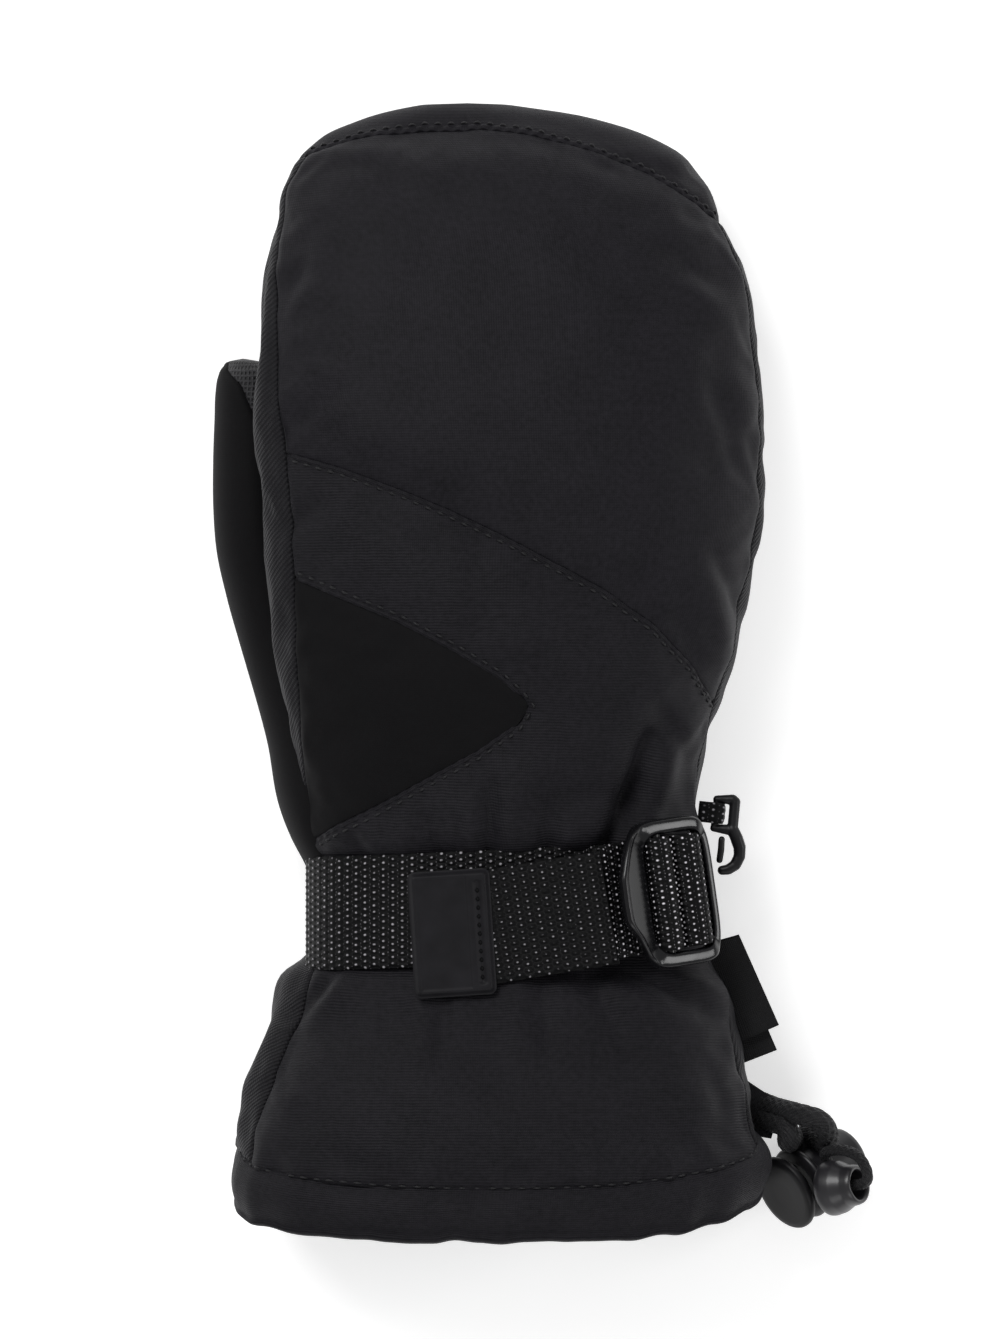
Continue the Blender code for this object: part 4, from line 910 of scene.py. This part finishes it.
def pull_tab():
    x0, x1, y0, y1, z0, z1 = -9.0, 9.0, -13.8, 13.8, 48.7, 52.5
    nu, nv = 96, 130
    u, v = np.linspace(x0, x1, nu), np.linspace(y0, y1, nv)
    U, V = np.meshgrid(u, v, indexing="ij")
    du, dv = np.minimum(U - x0, x1 - U), np.minimum(V - y0, y1 - V)
    r = 1.6
    corner = np.where((du < r) & (dv < r), r - np.hypot(r - du, r - dv), np.minimum(du, dv))
    corner = np.maximum(corner, 0)
    top = z1 - 1.1 * (1 - ramp(corner, 0, 1.3))
    face = ramp(np.minimum(U - x0 - 1.3, x1 - 5.0 - U), 0, 0.6) * ramp(dv - 1.3, 0, 0.6)
    top = top - 0.22 * face
    groove = np.exp(-((U - (x1 - 2.9)) / 0.80) ** 2) * ramp(dv, 2.0, 3.0)
    top = top - 0.62 * groove + 0.03 * noise(np.stack([U, V, top], -1), 2.0, 5.0)
    # round the plan corners by pulling the grid in
    sx = np.where((du < r) & (dv < r) & (np.hypot(r - du, r - dv) > r), 1.0, 0.0)
    cx, cy = np.where(U < (x0 + x1) / 2, x0 + r, x1 - r), np.where(V < 0, y0 + r, y1 - r)
    k = r / np.maximum(np.hypot(U - cx, V - cy), 1e-6)
    U2, V2 = np.where(sx > 0, cx + (U - cx) * k, U), np.where(sx > 0, cy + (V - cy) * k, V)
    q = np.stack([U2, V2, top], -1)
    low = np.stack([U2, V2, np.full_like(U2, z0)], -1)
    fr = np.array(TAB)
    pts = np.concatenate([q.reshape(-1, 3), low.reshape(-1, 3)]) @ fr[:3, :3].T + fr[:3, 3]
    off = nu * nv
    topf = [f[::-1] for f in net_faces(nu, nv)]
    faces = topf + [[i + off for i in f[::-1]] for f in topf]
    rim = [(j + 1, j) for j in range(nv - 1)] + [(i * nv, (i + 1) * nv) for i in range(nu - 1)] + [((nu - 1) * nv + j, (nu - 1) * nv + j + 1) for j in range(nv - 1)] + [((i + 1) * nv + nv - 1, i * nv + nv - 1) for i in range(nu - 1)]
    for a, b in rim:
        faces.append([b, a, a + off, b + off])
    o = build("tab", pts, faces, RUBBER)
    o.data.set_sharp_from_angle(angle=math.radians(50))
    finish_piece(o, "strap_end", ["pull_tab"])


pull_tab()


# ------------------------------------------------------------------ hardware
def buckle_ring():
    """The ladder-lock frame: thick rounded rails, a slim anchor bar and a broad lip whose edge swells in an S, with the cross bar inside."""
    n, k = 220, 40
    a = np.linspace(0, 2 * math.pi, n + 1)[:-1]
    c, s = np.cos(a), np.sin(a)

    def power(v, e):
        return np.sign(v) * np.abs(v) ** e

    inner = np.stack([9.0 + 7.6 * power(c, 1 / 3), 13.0 * power(s, 1 / 3)], -1)
    outer = np.stack([9.95 + 10.35 * power(c, 0.42), 16.3 * power(s, 0.42)], -1)
    swell = np.interp(outer[:, 1], [-16.5, -13.5, -9, -5, 0, 3.5, 6.0, 8.5, 12.0, 16.5], [0.0, 1.0, 2.8, 4.2, 5.4, 5.2, 4.0, 1.6, 0.3, 0.0])
    swell = np.convolve(np.pad(swell, 3, "wrap"), np.ones(7) / 7, "valid")
    outer[:, 0] += swell * ramp(c, 0.0, 0.45)
    side = ramp(np.abs(s), 0.55, 0.95)
    lip = ramp(c, 0.25, 0.75)
    half = 1.45 + 0.75 * side - 0.15 * lip
    rise = 0.55 * side + 0.25 * lip
    b = np.linspace(0, 2 * math.pi, k + 1)[:-1]
    sharp = (0.50 - 0.08 * lip)[:, None]
    cb, sb = power(np.cos(b)[None], sharp), power(np.sin(b)[None], sharp)
    mid, arm = (inner + outer) / 2, (outer - inner) / 2
    xy = mid[:, None] + arm[:, None] * cb[..., None]
    z = rise[:, None] + half[:, None] * sb
    z += np.where(sb > 0, 1, 0) * lip[:, None] * (0.34 * np.exp(-((cb - 0.80) / 0.14) ** 2) + 0.10 * cb)
    # the lip turns up for the thumb
    z += lip[:, None] * 0.40 * np.maximum(xy[..., 0] - 16.8, 0)
    pts = np.concatenate([xy, z[..., None]], -1).reshape(-1, 3)
    faces = []
    for i in range(n):
        for j in range(k):
            i2, j2 = (i + 1) % n, (j + 1) % k
            faces.append([i * k + j, i2 * k + j, i2 * k + j2, i * k + j2])
    # cross bar, rounded, its ends inside the rails
    m = 20
    start = len(pts)
    rows = [-14.2, -14.0] + list(np.linspace(-13, 13, 9)) + [14.0, 14.2]
    bar = [(12.7 + (1.25 if abs(y) < 14.1 else 0.9) * math.cos(t), y, 0.1 + (1.2 if abs(y) < 14.1 else 0.9) * math.sin(t)) for y in rows for t in np.arange(m) * 2 * math.pi / m]
    pts = np.concatenate([pts, bar])
    for r in range(len(rows) - 1):
        for j in range(m):
            faces.append([start + r * m + j, start + r * m + (j + 1) % m, start + (r + 1) * m + (j + 1) % m, start + (r + 1) * m + j])
    faces += [[start + j for j in range(m)], [start + (len(rows) - 1) * m + j for j in range(m)]]
    fr = np.array(BUCKLE)
    o = build("buckle", pts @ fr[:3, :3].T + fr[:3, 3], faces, BUCKLE_M)
    bm = bmesh.new()
    bm.from_mesh(o.data)
    bmesh.ops.recalc_face_normals(bm, faces=bm.faces)
    bm.to_mesh(o.data)
    bm.free()
    finish_piece(o, "buckle", ["buckle_frame"])


buckle_ring()
CLIP = Matrix.Translation((44.6, -31.5, 24.0)) @ Matrix.Rotation(math.radians(-6), 4, "Z") @ Matrix.Scale(0.9, 4)


def moulded(name, strokes, body, node_name, flat=0.86):
    """A small moulding: rounded strokes (points with a radius each) run together into one skin."""
    bm = bmesh.new()
    for stroke in strokes:
        q = np.array(stroke, float)
        d = np.concatenate([[0], np.cumsum(np.linalg.norm(np.diff(q[:, :2], axis=0), axis=1))])
        for at_ in np.arange(0, d[-1] + 0.001, 0.3):
            x, y, r = (np.interp(at_, d, q[:, k]) for k in range(3))
            bmesh.ops.create_icosphere(bm, subdivisions=2, radius=r * MM, matrix=Matrix.Translation((x * MM, y * MM, 0)) @ Matrix.Diagonal((1, 1, flat, 1)))
    me = bpy.data.meshes.new(name)
    bm.to_mesh(me)
    bm.free()
    trial = bpy.data.objects.new(name + "_strokes", me)
    bpy.context.scene.collection.objects.link(trial)
    r = trial.modifiers.new("skin", "REMESH")
    r.mode, r.voxel_size = "VOXEL", 0.17 * MM
    sm = trial.modifiers.new("soften", "SMOOTH")
    sm.factor, sm.iterations = 0.5, 6
    done = bpy.data.meshes.new_from_object(trial.evaluated_get(bpy.context.evaluated_depsgraph_get()))
    bpy.data.objects.remove(trial)
    bpy.data.meshes.remove(me)
    fr = CLIP.copy()
    fr.translation = fr.translation * MM
    done.transform(fr)
    done.name = name
    done.shade_smooth()
    done.materials.clear()
    done.materials.append(BLACK)
    o = bpy.data.objects.new(name, done)
    bpy.context.scene.collection.objects.link(o)
    return finish_piece(o, body, [node_name])


moulded("hook", [[(3.0, -3.4, 0.9), (3.0, 3.3, 0.9)], [(3.0, 3.4, 1.0), (6.9, 3.7, 1.35), (7.6, 3.0, 1.4)], [(7.5, 3.2, 1.4), (7.6, -3.4, 1.4)], [(3.0, -3.7, 1.0), (7.6, -3.8, 1.45)],
                 [(7.6, -3.6, 1.6), (8.7, -5.4, 1.65), (9.8, -7.8, 1.6), (10.0, -10.0, 1.5), (9.2, -12.2, 1.45), (7.6, -13.5, 1.35), (5.9, -13.9, 1.2)]], "clip", "clip_body")
moulded("hook_gate", [[(5.2, -6.3, 0.85), (5.3, -9.0, 0.9), (5.2, -11.6, 0.85)]], "gate", "clip_gate")


def turned(name, profile, mat, frame_m, steps=72, nodes=(), body="hand"):
    """A turned body: the profile of (radius, height) is rounded at its corners first."""
    p = [Vector((r, z, 0)) for r, z in profile]
    pts = []
    for k, q in enumerate(p):
        if 0 < k < len(p) - 1 and q.x > 0.01:
            a, b = (p[k - 1] - q), (p[k + 1] - q)
            d = min(0.32, 0.42 * a.length, 0.42 * b.length)
            a, b = q + a.normalized() * d, q + b.normalized() * d
            pts += [a, (a + b) * 0.25 + q * 0.5, b]
        else:
            pts.append(q)
    verts, faces, rings = [], [], []
    for q in pts:
        if q.x < 0.01:
            rings.append([len(verts)])
            verts.append(frame_m @ Vector((0, 0, q.y)))
        else:
            rings.append(list(range(len(verts), len(verts) + steps)))
            verts += [frame_m @ Vector((q.x * math.cos(2 * math.pi * s / steps), q.x * math.sin(2 * math.pi * s / steps), q.y)) for s in range(steps)]
    for a, b in zip(rings, rings[1:]):
        for s in range(steps):
            t = (s + 1) % steps
            f = [a[s % len(a)], a[t % len(a)], b[t % len(b)], b[s % len(b)]]
            f = list(dict.fromkeys(f))
            if len(f) > 2:
                faces.append(f)
    o = build(name, [tuple(v) for v in verts], faces, mat)
    bm = bmesh.new()
    bm.from_mesh(o.data)
    bmesh.ops.recalc_face_normals(bm, faces=bm.faces)
    bm.to_mesh(o.data)
    bm.free()
    o.data.set_sharp_from_angle(angle=math.radians(55))
    return finish_piece(o, body, list(nodes))


LOCK_AT = Vector((62.3, -116.7, 17.6))
down, head = math.radians(33), math.radians(30)
lz = Vector((math.cos(down) * math.cos(head), math.cos(down) * math.sin(head), -math.sin(down)))
ly = Vector((-math.sin(head), math.cos(head), 0))
lx = ly.cross(lz)
LOCK = Matrix.Translation(LOCK_AT) @ Matrix((lx, ly, lz)).transposed().to_4x4()
BELL_A, BELL_B = Vector((71.5, -115.2, 22.5)), Vector((79.1, -113.8, 27.9))
bz = (BELL_B - BELL_A).normalized()
bx = bz.cross(Vector((0, 0, 1))).normalized()
BELL = Matrix.Translation(BELL_A) @ Matrix((bx, bz.cross(bx), bz)).transposed().to_4x4()
blen = (BELL_B - BELL_A).length
turned("lock_plunger", [(0, 0.25), (3.0, 0.2), (7.2, 0), (8.3, 0.25), (8.7, 0.8), (8.7, 1.6), (8.1, 2.2), (5.0, 2.3), (4.6, 2.6), (4.6, 4.7), (0, 4.7)], CAP, LOCK, nodes=["cord_lock_plunger"], body="plunger")
barrel = turned("lock_barrel", [(0, 21), (5.2, 21), (6.3, 20.4), (6.6, 19.4), (6.6, 7.5), (7.0, 7.0), (8.2, 6.7), (8.5, 6.0), (8.2, 5.4), (7.6, 5.2), (4.9, 5.2), (4.9, 7.65), (0, 7.65)], BARREL_LIT_M, LOCK, nodes=["cord_lock_body"], body="drawcord_end")
bell = turned("cord_bell", [(0, 0), (3.8, 0.05), (5.2, 0.45), (6.1, 1.4), (6.2, 2.4), (5.8, 4.6), (4.7, blen - 2.6), (4.5, blen - 0.9), (4.2, blen - 0.1), (3.6, blen), (3.2, blen - 0.6), (2.9, 3.0), (0, 3.0)], GLOSS, BELL, nodes=["cord_end_bell"], body="drawcord_end")


# ------------------------------------------------------------------ cords
def smooth_path(points, n=6):
    p = [Vector(q) for q in points]
    out = []
    for k in range(len(p) - 1):
        a, b, c, d = p[max(k - 1, 0)], p[k], p[k + 1], p[min(k + 2, len(p) - 1)]
        for j in range(n):
            t = j / n
            out.append(0.5 * (2 * b + (c - a) * t + (2 * a - 5 * b + 4 * c - d) * t * t + (3 * b - a - 3 * c + d) * t ** 3))
    return out + [p[-1]]


def braid(name, path, radius, nodes, body, carriers=8, pitch=5.2, depth=0.20, declare=None):
    """A braided cord as a mesh tube: two sets of yarns winding opposite ways give its diamond relief."""
    pts = np.array([tuple(v) for v in path])
    s = np.concatenate([[0], np.cumsum(np.linalg.norm(np.diff(pts, axis=0), axis=1))])
    n = max(24, int(s[-1] / 0.22))
    fine = np.linspace(0, s[-1], n)
    c = np.stack([np.interp(fine, s, pts[:, k]) for k in range(3)], -1)
    for _ in range(6):
        c[1:-1] = 0.25 * c[:-2] + 0.5 * c[1:-1] + 0.25 * c[2:]
    t = np.gradient(c, axis=0)
    t /= np.linalg.norm(t, axis=1, keepdims=True)
    x = np.cross(t[0], (0.3, 0.5, 0.81))
    x /= np.linalg.norm(x)
    frames = []
    for k in range(n):
        x = x - t[k] * (x @ t[k])
        x /= np.linalg.norm(x)
        frames.append((x.copy(), np.cross(t[k], x)))
    na = 40
    a = np.arange(na) * 2 * math.pi / na
    S, A = np.meshgrid(fine, a, indexing="ij")
    w1 = np.cos(carriers * (A + 2 * math.pi * S / (pitch * carriers / 2)))
    w2 = np.cos(carriers * (A - 2 * math.pi * S / (pitch * carriers / 2)))
    R = radius - depth + depth * np.maximum(w1, w2)
    fx, fy = np.array([f[0] for f in frames]), np.array([f[1] for f in frames])
    q = c[:, None] + R[..., None] * (fx[:, None] * np.cos(A)[..., None] + fy[:, None] * np.sin(A)[..., None])
    verts = np.concatenate([q.reshape(-1, 3), c[:1], c[-1:]])
    faces = []
    for i in range(n - 1):
        for j in range(na):
            k = (j + 1) % na
            faces.append([i * na + j, i * na + k, (i + 1) * na + k, (i + 1) * na + j])
    faces += [[n * na, (j + 1) % na, j] for j in range(na)] + [[n * na + 1, (n - 1) * na + j, (n - 1) * na + (j + 1) % na] for j in range(na)]
    uv = np.concatenate([np.stack([A * radius, S], -1).reshape(-1, 2), [[0, 0], [0, fine[-1]]]])
    o = build(name, verts, faces, CORDM, uv)
    if nodes:
        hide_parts(*nodes)
    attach(o, body)
    return o, c, fine[-1]


long_pts = smooth_path([(57.6, -96.2, 16.4), (61.0, -97.4, 19.0), (65.6, -98.4, 24.4), (70.2, -99.8, 25.4), (72.3, -103.0, 22), (71.9, -105.6, 16.5), LOCK @ Vector((0, 9.0, 13.9)), LOCK @ Vector((0, 6.0, 13.9)), LOCK @ Vector((0, 1.0, 13.9))])
short_pts = smooth_path([(57.0, -99.4, 16.2), (60.2, -100.4, 19.6), (63.2, -101.6, 22.8), (63.5, -104.8, 20.2), LOCK @ Vector((0, 9.0, 10.5)), LOCK @ Vector((0, 6.0, 10.5)), LOCK @ Vector((0, -1.0, 10.5))])
loop_pts = smooth_path([LOCK @ Vector((-3.8, 0.4, 10.0)), LOCK @ Vector((-8.2, 0.6, 9.2)), (71.6, -107.2, 22.4), (75.1, -106.3, 26.8), (78.5, -107.4, 29.8), (80.3, -110.0, 31.3), (80.7, -112.4, 30.7), BELL @ Vector((0, 0, 10.2)), BELL @ Vector((0, 0, 7.2)), BELL @ Vector((0, 0, 4.0))])
cord_a, path_a, len_a = braid("cord_long", long_pts, 2.45, ["drawcord_long"], "drawcord_end")
cord_b, path_b, len_b = braid("cord_short", short_pts, 2.45, ["drawcord_short"], "drawcord_end")
cord_c, path_c, len_c = braid("cord_loop", loop_pts, 1.25, ["drawcord_loop"], "drawcord_end", 6, 3.6, 0.14)


# ------------------------------------------------------------------ labels and small webbing
def patch(name, corners, nodes, mat, sag=0.0, curl=0.8, thick=0.35, nu=26, nv=40, body="hand"):
    """A four-cornered scrap of cloth with a gentle curl."""
    c = np.array(corners, float)
    u, v = np.meshgrid(np.linspace(0, 1, nu), np.linspace(0, 1, nv), indexing="ij")
    u_, v_ = u[..., None], v[..., None]
    p = c[0] * (1 - u_) * (1 - v_) + c[1] * u_ * (1 - v_) + c[2] * u_ * v_ + c[3] * (1 - u_) * v_
    p[..., 2] += curl * np.sin(math.pi * u) * (0.3 + 0.7 * v) + sag * v * v + 0.25 * noise(p, 6.0, 71.0)
    w = np.linalg.norm(c[1] - c[0] + c[2] - c[3]) / 2
    length = np.linalg.norm(c[3] - c[0] + c[2] - c[1]) / 2
    o = build(name, p.reshape(-1, 3), net_faces(nu, nv), mat, np.stack([u * w, v * length], -1).reshape(-1, 2))
    me = o.data
    if sum(f.normal.z for f in me.polygons) < 0:
        me.flip_normals()
    area = sum(f.area for f in me.polygons)
    thicken(o, thick)
    if nodes:
        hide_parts(*nodes)
    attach(o, body)
    return o, w, length, area


lab_a, wa, la, aa = patch("label_upper", [(43.4, -61.2, 23.6), (52.5, -58.7, 23.4), (61.4, -78.8, 23.2), (50.6, -83.4, 23.6)], ["care_label"], LABEL, curl=0.7)
lab_b, wb, lb, ab = patch("label_lower", [(47.2, -74.0, 21.2), (57.4, -76.0, 21.0), (61.0, -84.4, 21.0), (50.6, -88.4, 21.2)], ["size_label"], LABEL, curl=0.5)
tab_c, wc, lc, ac = patch("cord_tab", [(52.6, -90.2, 18.4), (62.0, -96.2, 18.8), (59.8, -104.2, 18.6), (53.0, -103.0, 18.2)], ["cord_exit_tab"], TWILL, curl=0.5, thick=1.3)
loop = [(-1.2, 2.1), (3.4, 2.2), (4.5, 1.6), (5.0, 0), (4.5, -1.6), (3.4, -2.2), (-1.2, -2.1)]
clip_web = webbing("clip_web", [tuple(CLIP @ Vector((x, 0, z))) for x, z in loop], [tuple((CLIP.to_3x3() @ Vector((0, 1, 0))).normalized())] * len(loop), 4.6, (0.7, 0, 0.7), thick=0.7, step=0.2, nw=26, weave=0.14)
finish_piece(clip_web, "hand", ["clip_loop"])


# ------------------------------------------------------------------ stitching
def stitches(name, theta, y, lift=0.25, pitch=2.9, length=2.0, radius=0.30, body="hand", mat=None, puff=1.0, points=None, ups=None):
    """A row of thread stitches lying on the cloth."""
    if points is None:
        points, ups = cloth_at(np.asarray(theta, float), np.asarray(y, float), puff)
    s = np.concatenate([[0], np.cumsum(np.linalg.norm(np.diff(points, axis=0), axis=1))])
    verts, faces, uvs = [], [], []
    sides, rings = 7, 7
    for k, a in enumerate(np.arange(0.6, s[-1] - length, pitch)):
        st = np.linspace(a, a + length, rings)
        c = np.stack([np.interp(st, s, points[:, j]) for j in range(3)], -1)
        up = np.stack([np.interp(st, s, ups[:, j]) for j in range(3)], -1)
        t = np.gradient(c, axis=0)
        t /= np.linalg.norm(t, axis=1, keepdims=True)
        side = np.cross(up, t)
        side /= np.linalg.norm(side, axis=1, keepdims=True)
        bow = np.sin(np.linspace(0, math.pi, rings))
        c = c + up * (lift * bow - 0.32 * (1 - bow))[:, None]
        c[:, 2] = np.maximum(c[:, 2], 0.45)
        base = len(verts)
        for j in range(rings):
            r = radius * (0.45 + 0.55 * bow[j])
            for m in range(sides):
                ang = 2 * math.pi * m / sides
                verts.append(c[j] + side[j] * r * math.cos(ang) + up[j] * r * 0.85 * math.sin(ang))
                uvs.append((ang, st[j]))
        for j in range(rings - 1):
            for m in range(sides):
                q = (m + 1) % sides
                faces.append([base + j * sides + m, base + j * sides + q, base + (j + 1) * sides + q, base + (j + 1) * sides + m])
        faces.append([base + m for m in range(sides)][::-1])
        faces.append([base + (rings - 1) * sides + m for m in range(sides)])
    o = build(name, np.array(verts), faces, mat or THREAD, uvs)
    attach(o, body)
    return o


def seam_roll(name, theta, y, side, mat, puff, half=0.8, high=0.5, pitch=2.9):
    """The seam's turned-in edge: a narrow roll along it, drawn down at each stitch."""
    c, up = cloth_at(np.asarray(theta, float), np.asarray(y, float) + side * 0.4, puff)
    s = np.concatenate([[0], np.cumsum(np.linalg.norm(np.diff(c, axis=0), axis=1))])
    st = np.arange(0, s[-1], 0.3)
    c = np.stack([np.interp(st, s, c[:, j]) for j in range(3)], -1)
    up = np.stack([np.interp(st, s, up[:, j]) for j in range(3)], -1)
    for _ in range(8):
        c[1:-1] = 0.25 * c[:-2] + 0.5 * c[1:-1] + 0.25 * c[2:]
    t = np.gradient(c, axis=0)
    t /= np.linalg.norm(t, axis=1, keepdims=True)
    w = np.cross(up, t)
    w /= np.linalg.norm(w, axis=1, keepdims=True)
    v = np.linspace(-1, 1, 11)
    pull = 0.66 - 0.34 * np.cos(2 * math.pi * (st - 1.6) / pitch) + 0.25 * noise(c, 2.2, 91.0)
    h = (high * pull)[:, None] * ((1 - v * v) ** 0.7)[None] - 0.30 * (v ** 4)[None] - 0.05
    wide = half * (1 + 0.10 * np.cos(2 * math.pi * (st - 1.6) / pitch))
    fade = ramp(st, 0, 2.0) * ramp(st[-1] - st, 0, 2.0)
    q = c[:, None] + w[:, None] * (v[None] * wide[:, None])[..., None] + up[:, None] * (h * fade[:, None] - 0.35 * (1 - fade[:, None]))[..., None]
    n = len(st)
    uv = np.stack([np.repeat(st[:, None], 11, 1), np.repeat(v[None], n, 0)], -1)
    o = build(name, q.reshape(-1, 3), net_faces(n, 11), mat, uv.reshape(-1, 2))
    if sum(f.normal.z for f in o.data.polygons) < 0:
        o.data.flip_normals()
    thicken(o, 0.35)
    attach(o, "hand")


# The tab's stitches use the same thread painted darker: painted shade of the groove they sit in.
GROOVE_SHADED_THREAD = fabric("tab_thread", (0.0014, 0.0014, 0.0016), (0.0042, 0.0042, 0.0048), 0.6, "plain", 0.3, 0.3, 0.0, spec=0.1)
bt = np.linspace(RIGHT + 3, LEFT - 1, 500)
tt = np.linspace(12, 166, 500)
stitches("stitch_band", bt, band_y(bt) - 1.2, puff=0.75, lift=0.32)
stitches("stitch_tip", tt, tip_y(tt) + 1.2, puff=1.2, lift=0.32)
seam_roll("seam_band", bt, band_y(bt), -1, RIB, 0.75)
seam_roll("seam_tip", tt, tip_y(tt), 1, SHELL, 1.2, 0.95, 0.6)
it = np.linspace(LEFT - 1, APEX_T + 1.6, 260)
it2 = it[::-1]
ins_t = np.concatenate([it, [APEX_T - 1.2], it2])
ins_y = np.concatenate([top_y(it) + 1.5, [float(low_y(APEX_T) + top_y(APEX_T)) / 2], low_y(it2) - 1.5])
seam_roll("seam_insert_top", it, top_y(it), 1, RIB, 0.75, 0.8, 0.42)
seam_roll("seam_insert_low", it, low_y(it), -1, RIB, 0.75, 0.8, 0.42)
stitches("stitch_insert", ins_t, ins_y, puff=0.75)
for name, first, last in (("stitch_hem", 14, 166), ("stitch_hem_palm", 196, 344)):
    ht = np.linspace(first, last, 500)
    stitches(name, ht, hem_top(ht) + 0.5, pitch=3.3, length=2.1, puff=0.9, lift=0.20, radius=0.27)
tab_line = [TAB @ Vector((6.1, v, 51.96)) for v in np.linspace(-11.2, 11.2, 60)]
stitches("stitch_tab", None, None, pitch=1.9, length=1.3, radius=0.32, body="strap_end", mat=GROOVE_SHADED_THREAD, points=np.array([tuple(v) for v in tab_line]), ups=np.repeat([[0.0, 0.0, 1.0]], 60, 0), lift=0.1)


# ------------------------------------------------------------------ stage
floor_m, nt, p = principled("pale_floor")
tex = nt.nodes.new("ShaderNodeTexCoord")
nt.links.new(colour_between(nt, noise_tex(nt, tex.outputs["Object"], 3.0), (0.90, 0.90, 0.90), (0.93, 0.93, 0.93)), p.inputs["Base Color"])
p.inputs["Roughness"].default_value = 0.9
p.inputs["Emission Color"].default_value = (1, 1, 1, 1)
p.inputs["Emission Strength"].default_value = 0.42
bpy.ops.mesh.primitive_plane_add(size=4, location=(0, 0, 0))
floor = bpy.context.object
floor.name = "floor"
floor.data.materials.append(floor_m)

world = bpy.data.worlds.new("studio")
bpy.context.scene.world = world
world.use_nodes = True
world.node_tree.nodes["Background"].inputs[0].default_value = (1, 1, 1, 1)
world.node_tree.nodes["Background"].inputs[1].default_value = 0.46


def area(name, place, target, size, power):
    l = bpy.data.lights.new(name, "AREA")
    l.energy, l.shape, l.size, l.size_y = power, "RECTANGLE", size[0], size[1]
    o = bpy.data.objects.new(name, l)
    bpy.context.scene.collection.objects.link(o)
    o.location = place
    o.rotation_euler = (Vector(target) - Vector(place)).to_track_quat("-Z", "Y").to_euler()


area("key", (-0.55, 0.75, 1.15), (0, 0, 0.02), (0.8, 0.6), 13.0)
area("fill", (1.12, 0.05, 0.66), (0, 0, 0.03), (0.42, 0.30), 3.6)
area("low", (0.1, -1.0, 0.8), (0, -0.05, 0.02), (1.0, 0.5), 3.0)

cam = bpy.data.cameras.new("camera")
cam.lens, cam.sensor_width, cam.clip_start, cam.clip_end = 250, 36, 0.01, 20
co = bpy.data.objects.new("camera", cam)
bpy.context.scene.collection.objects.link(co)
co.location = (0, 0, 2.0837)
bpy.context.scene.camera = co
bpy.context.scene.view_settings.view_transform = "Standard"
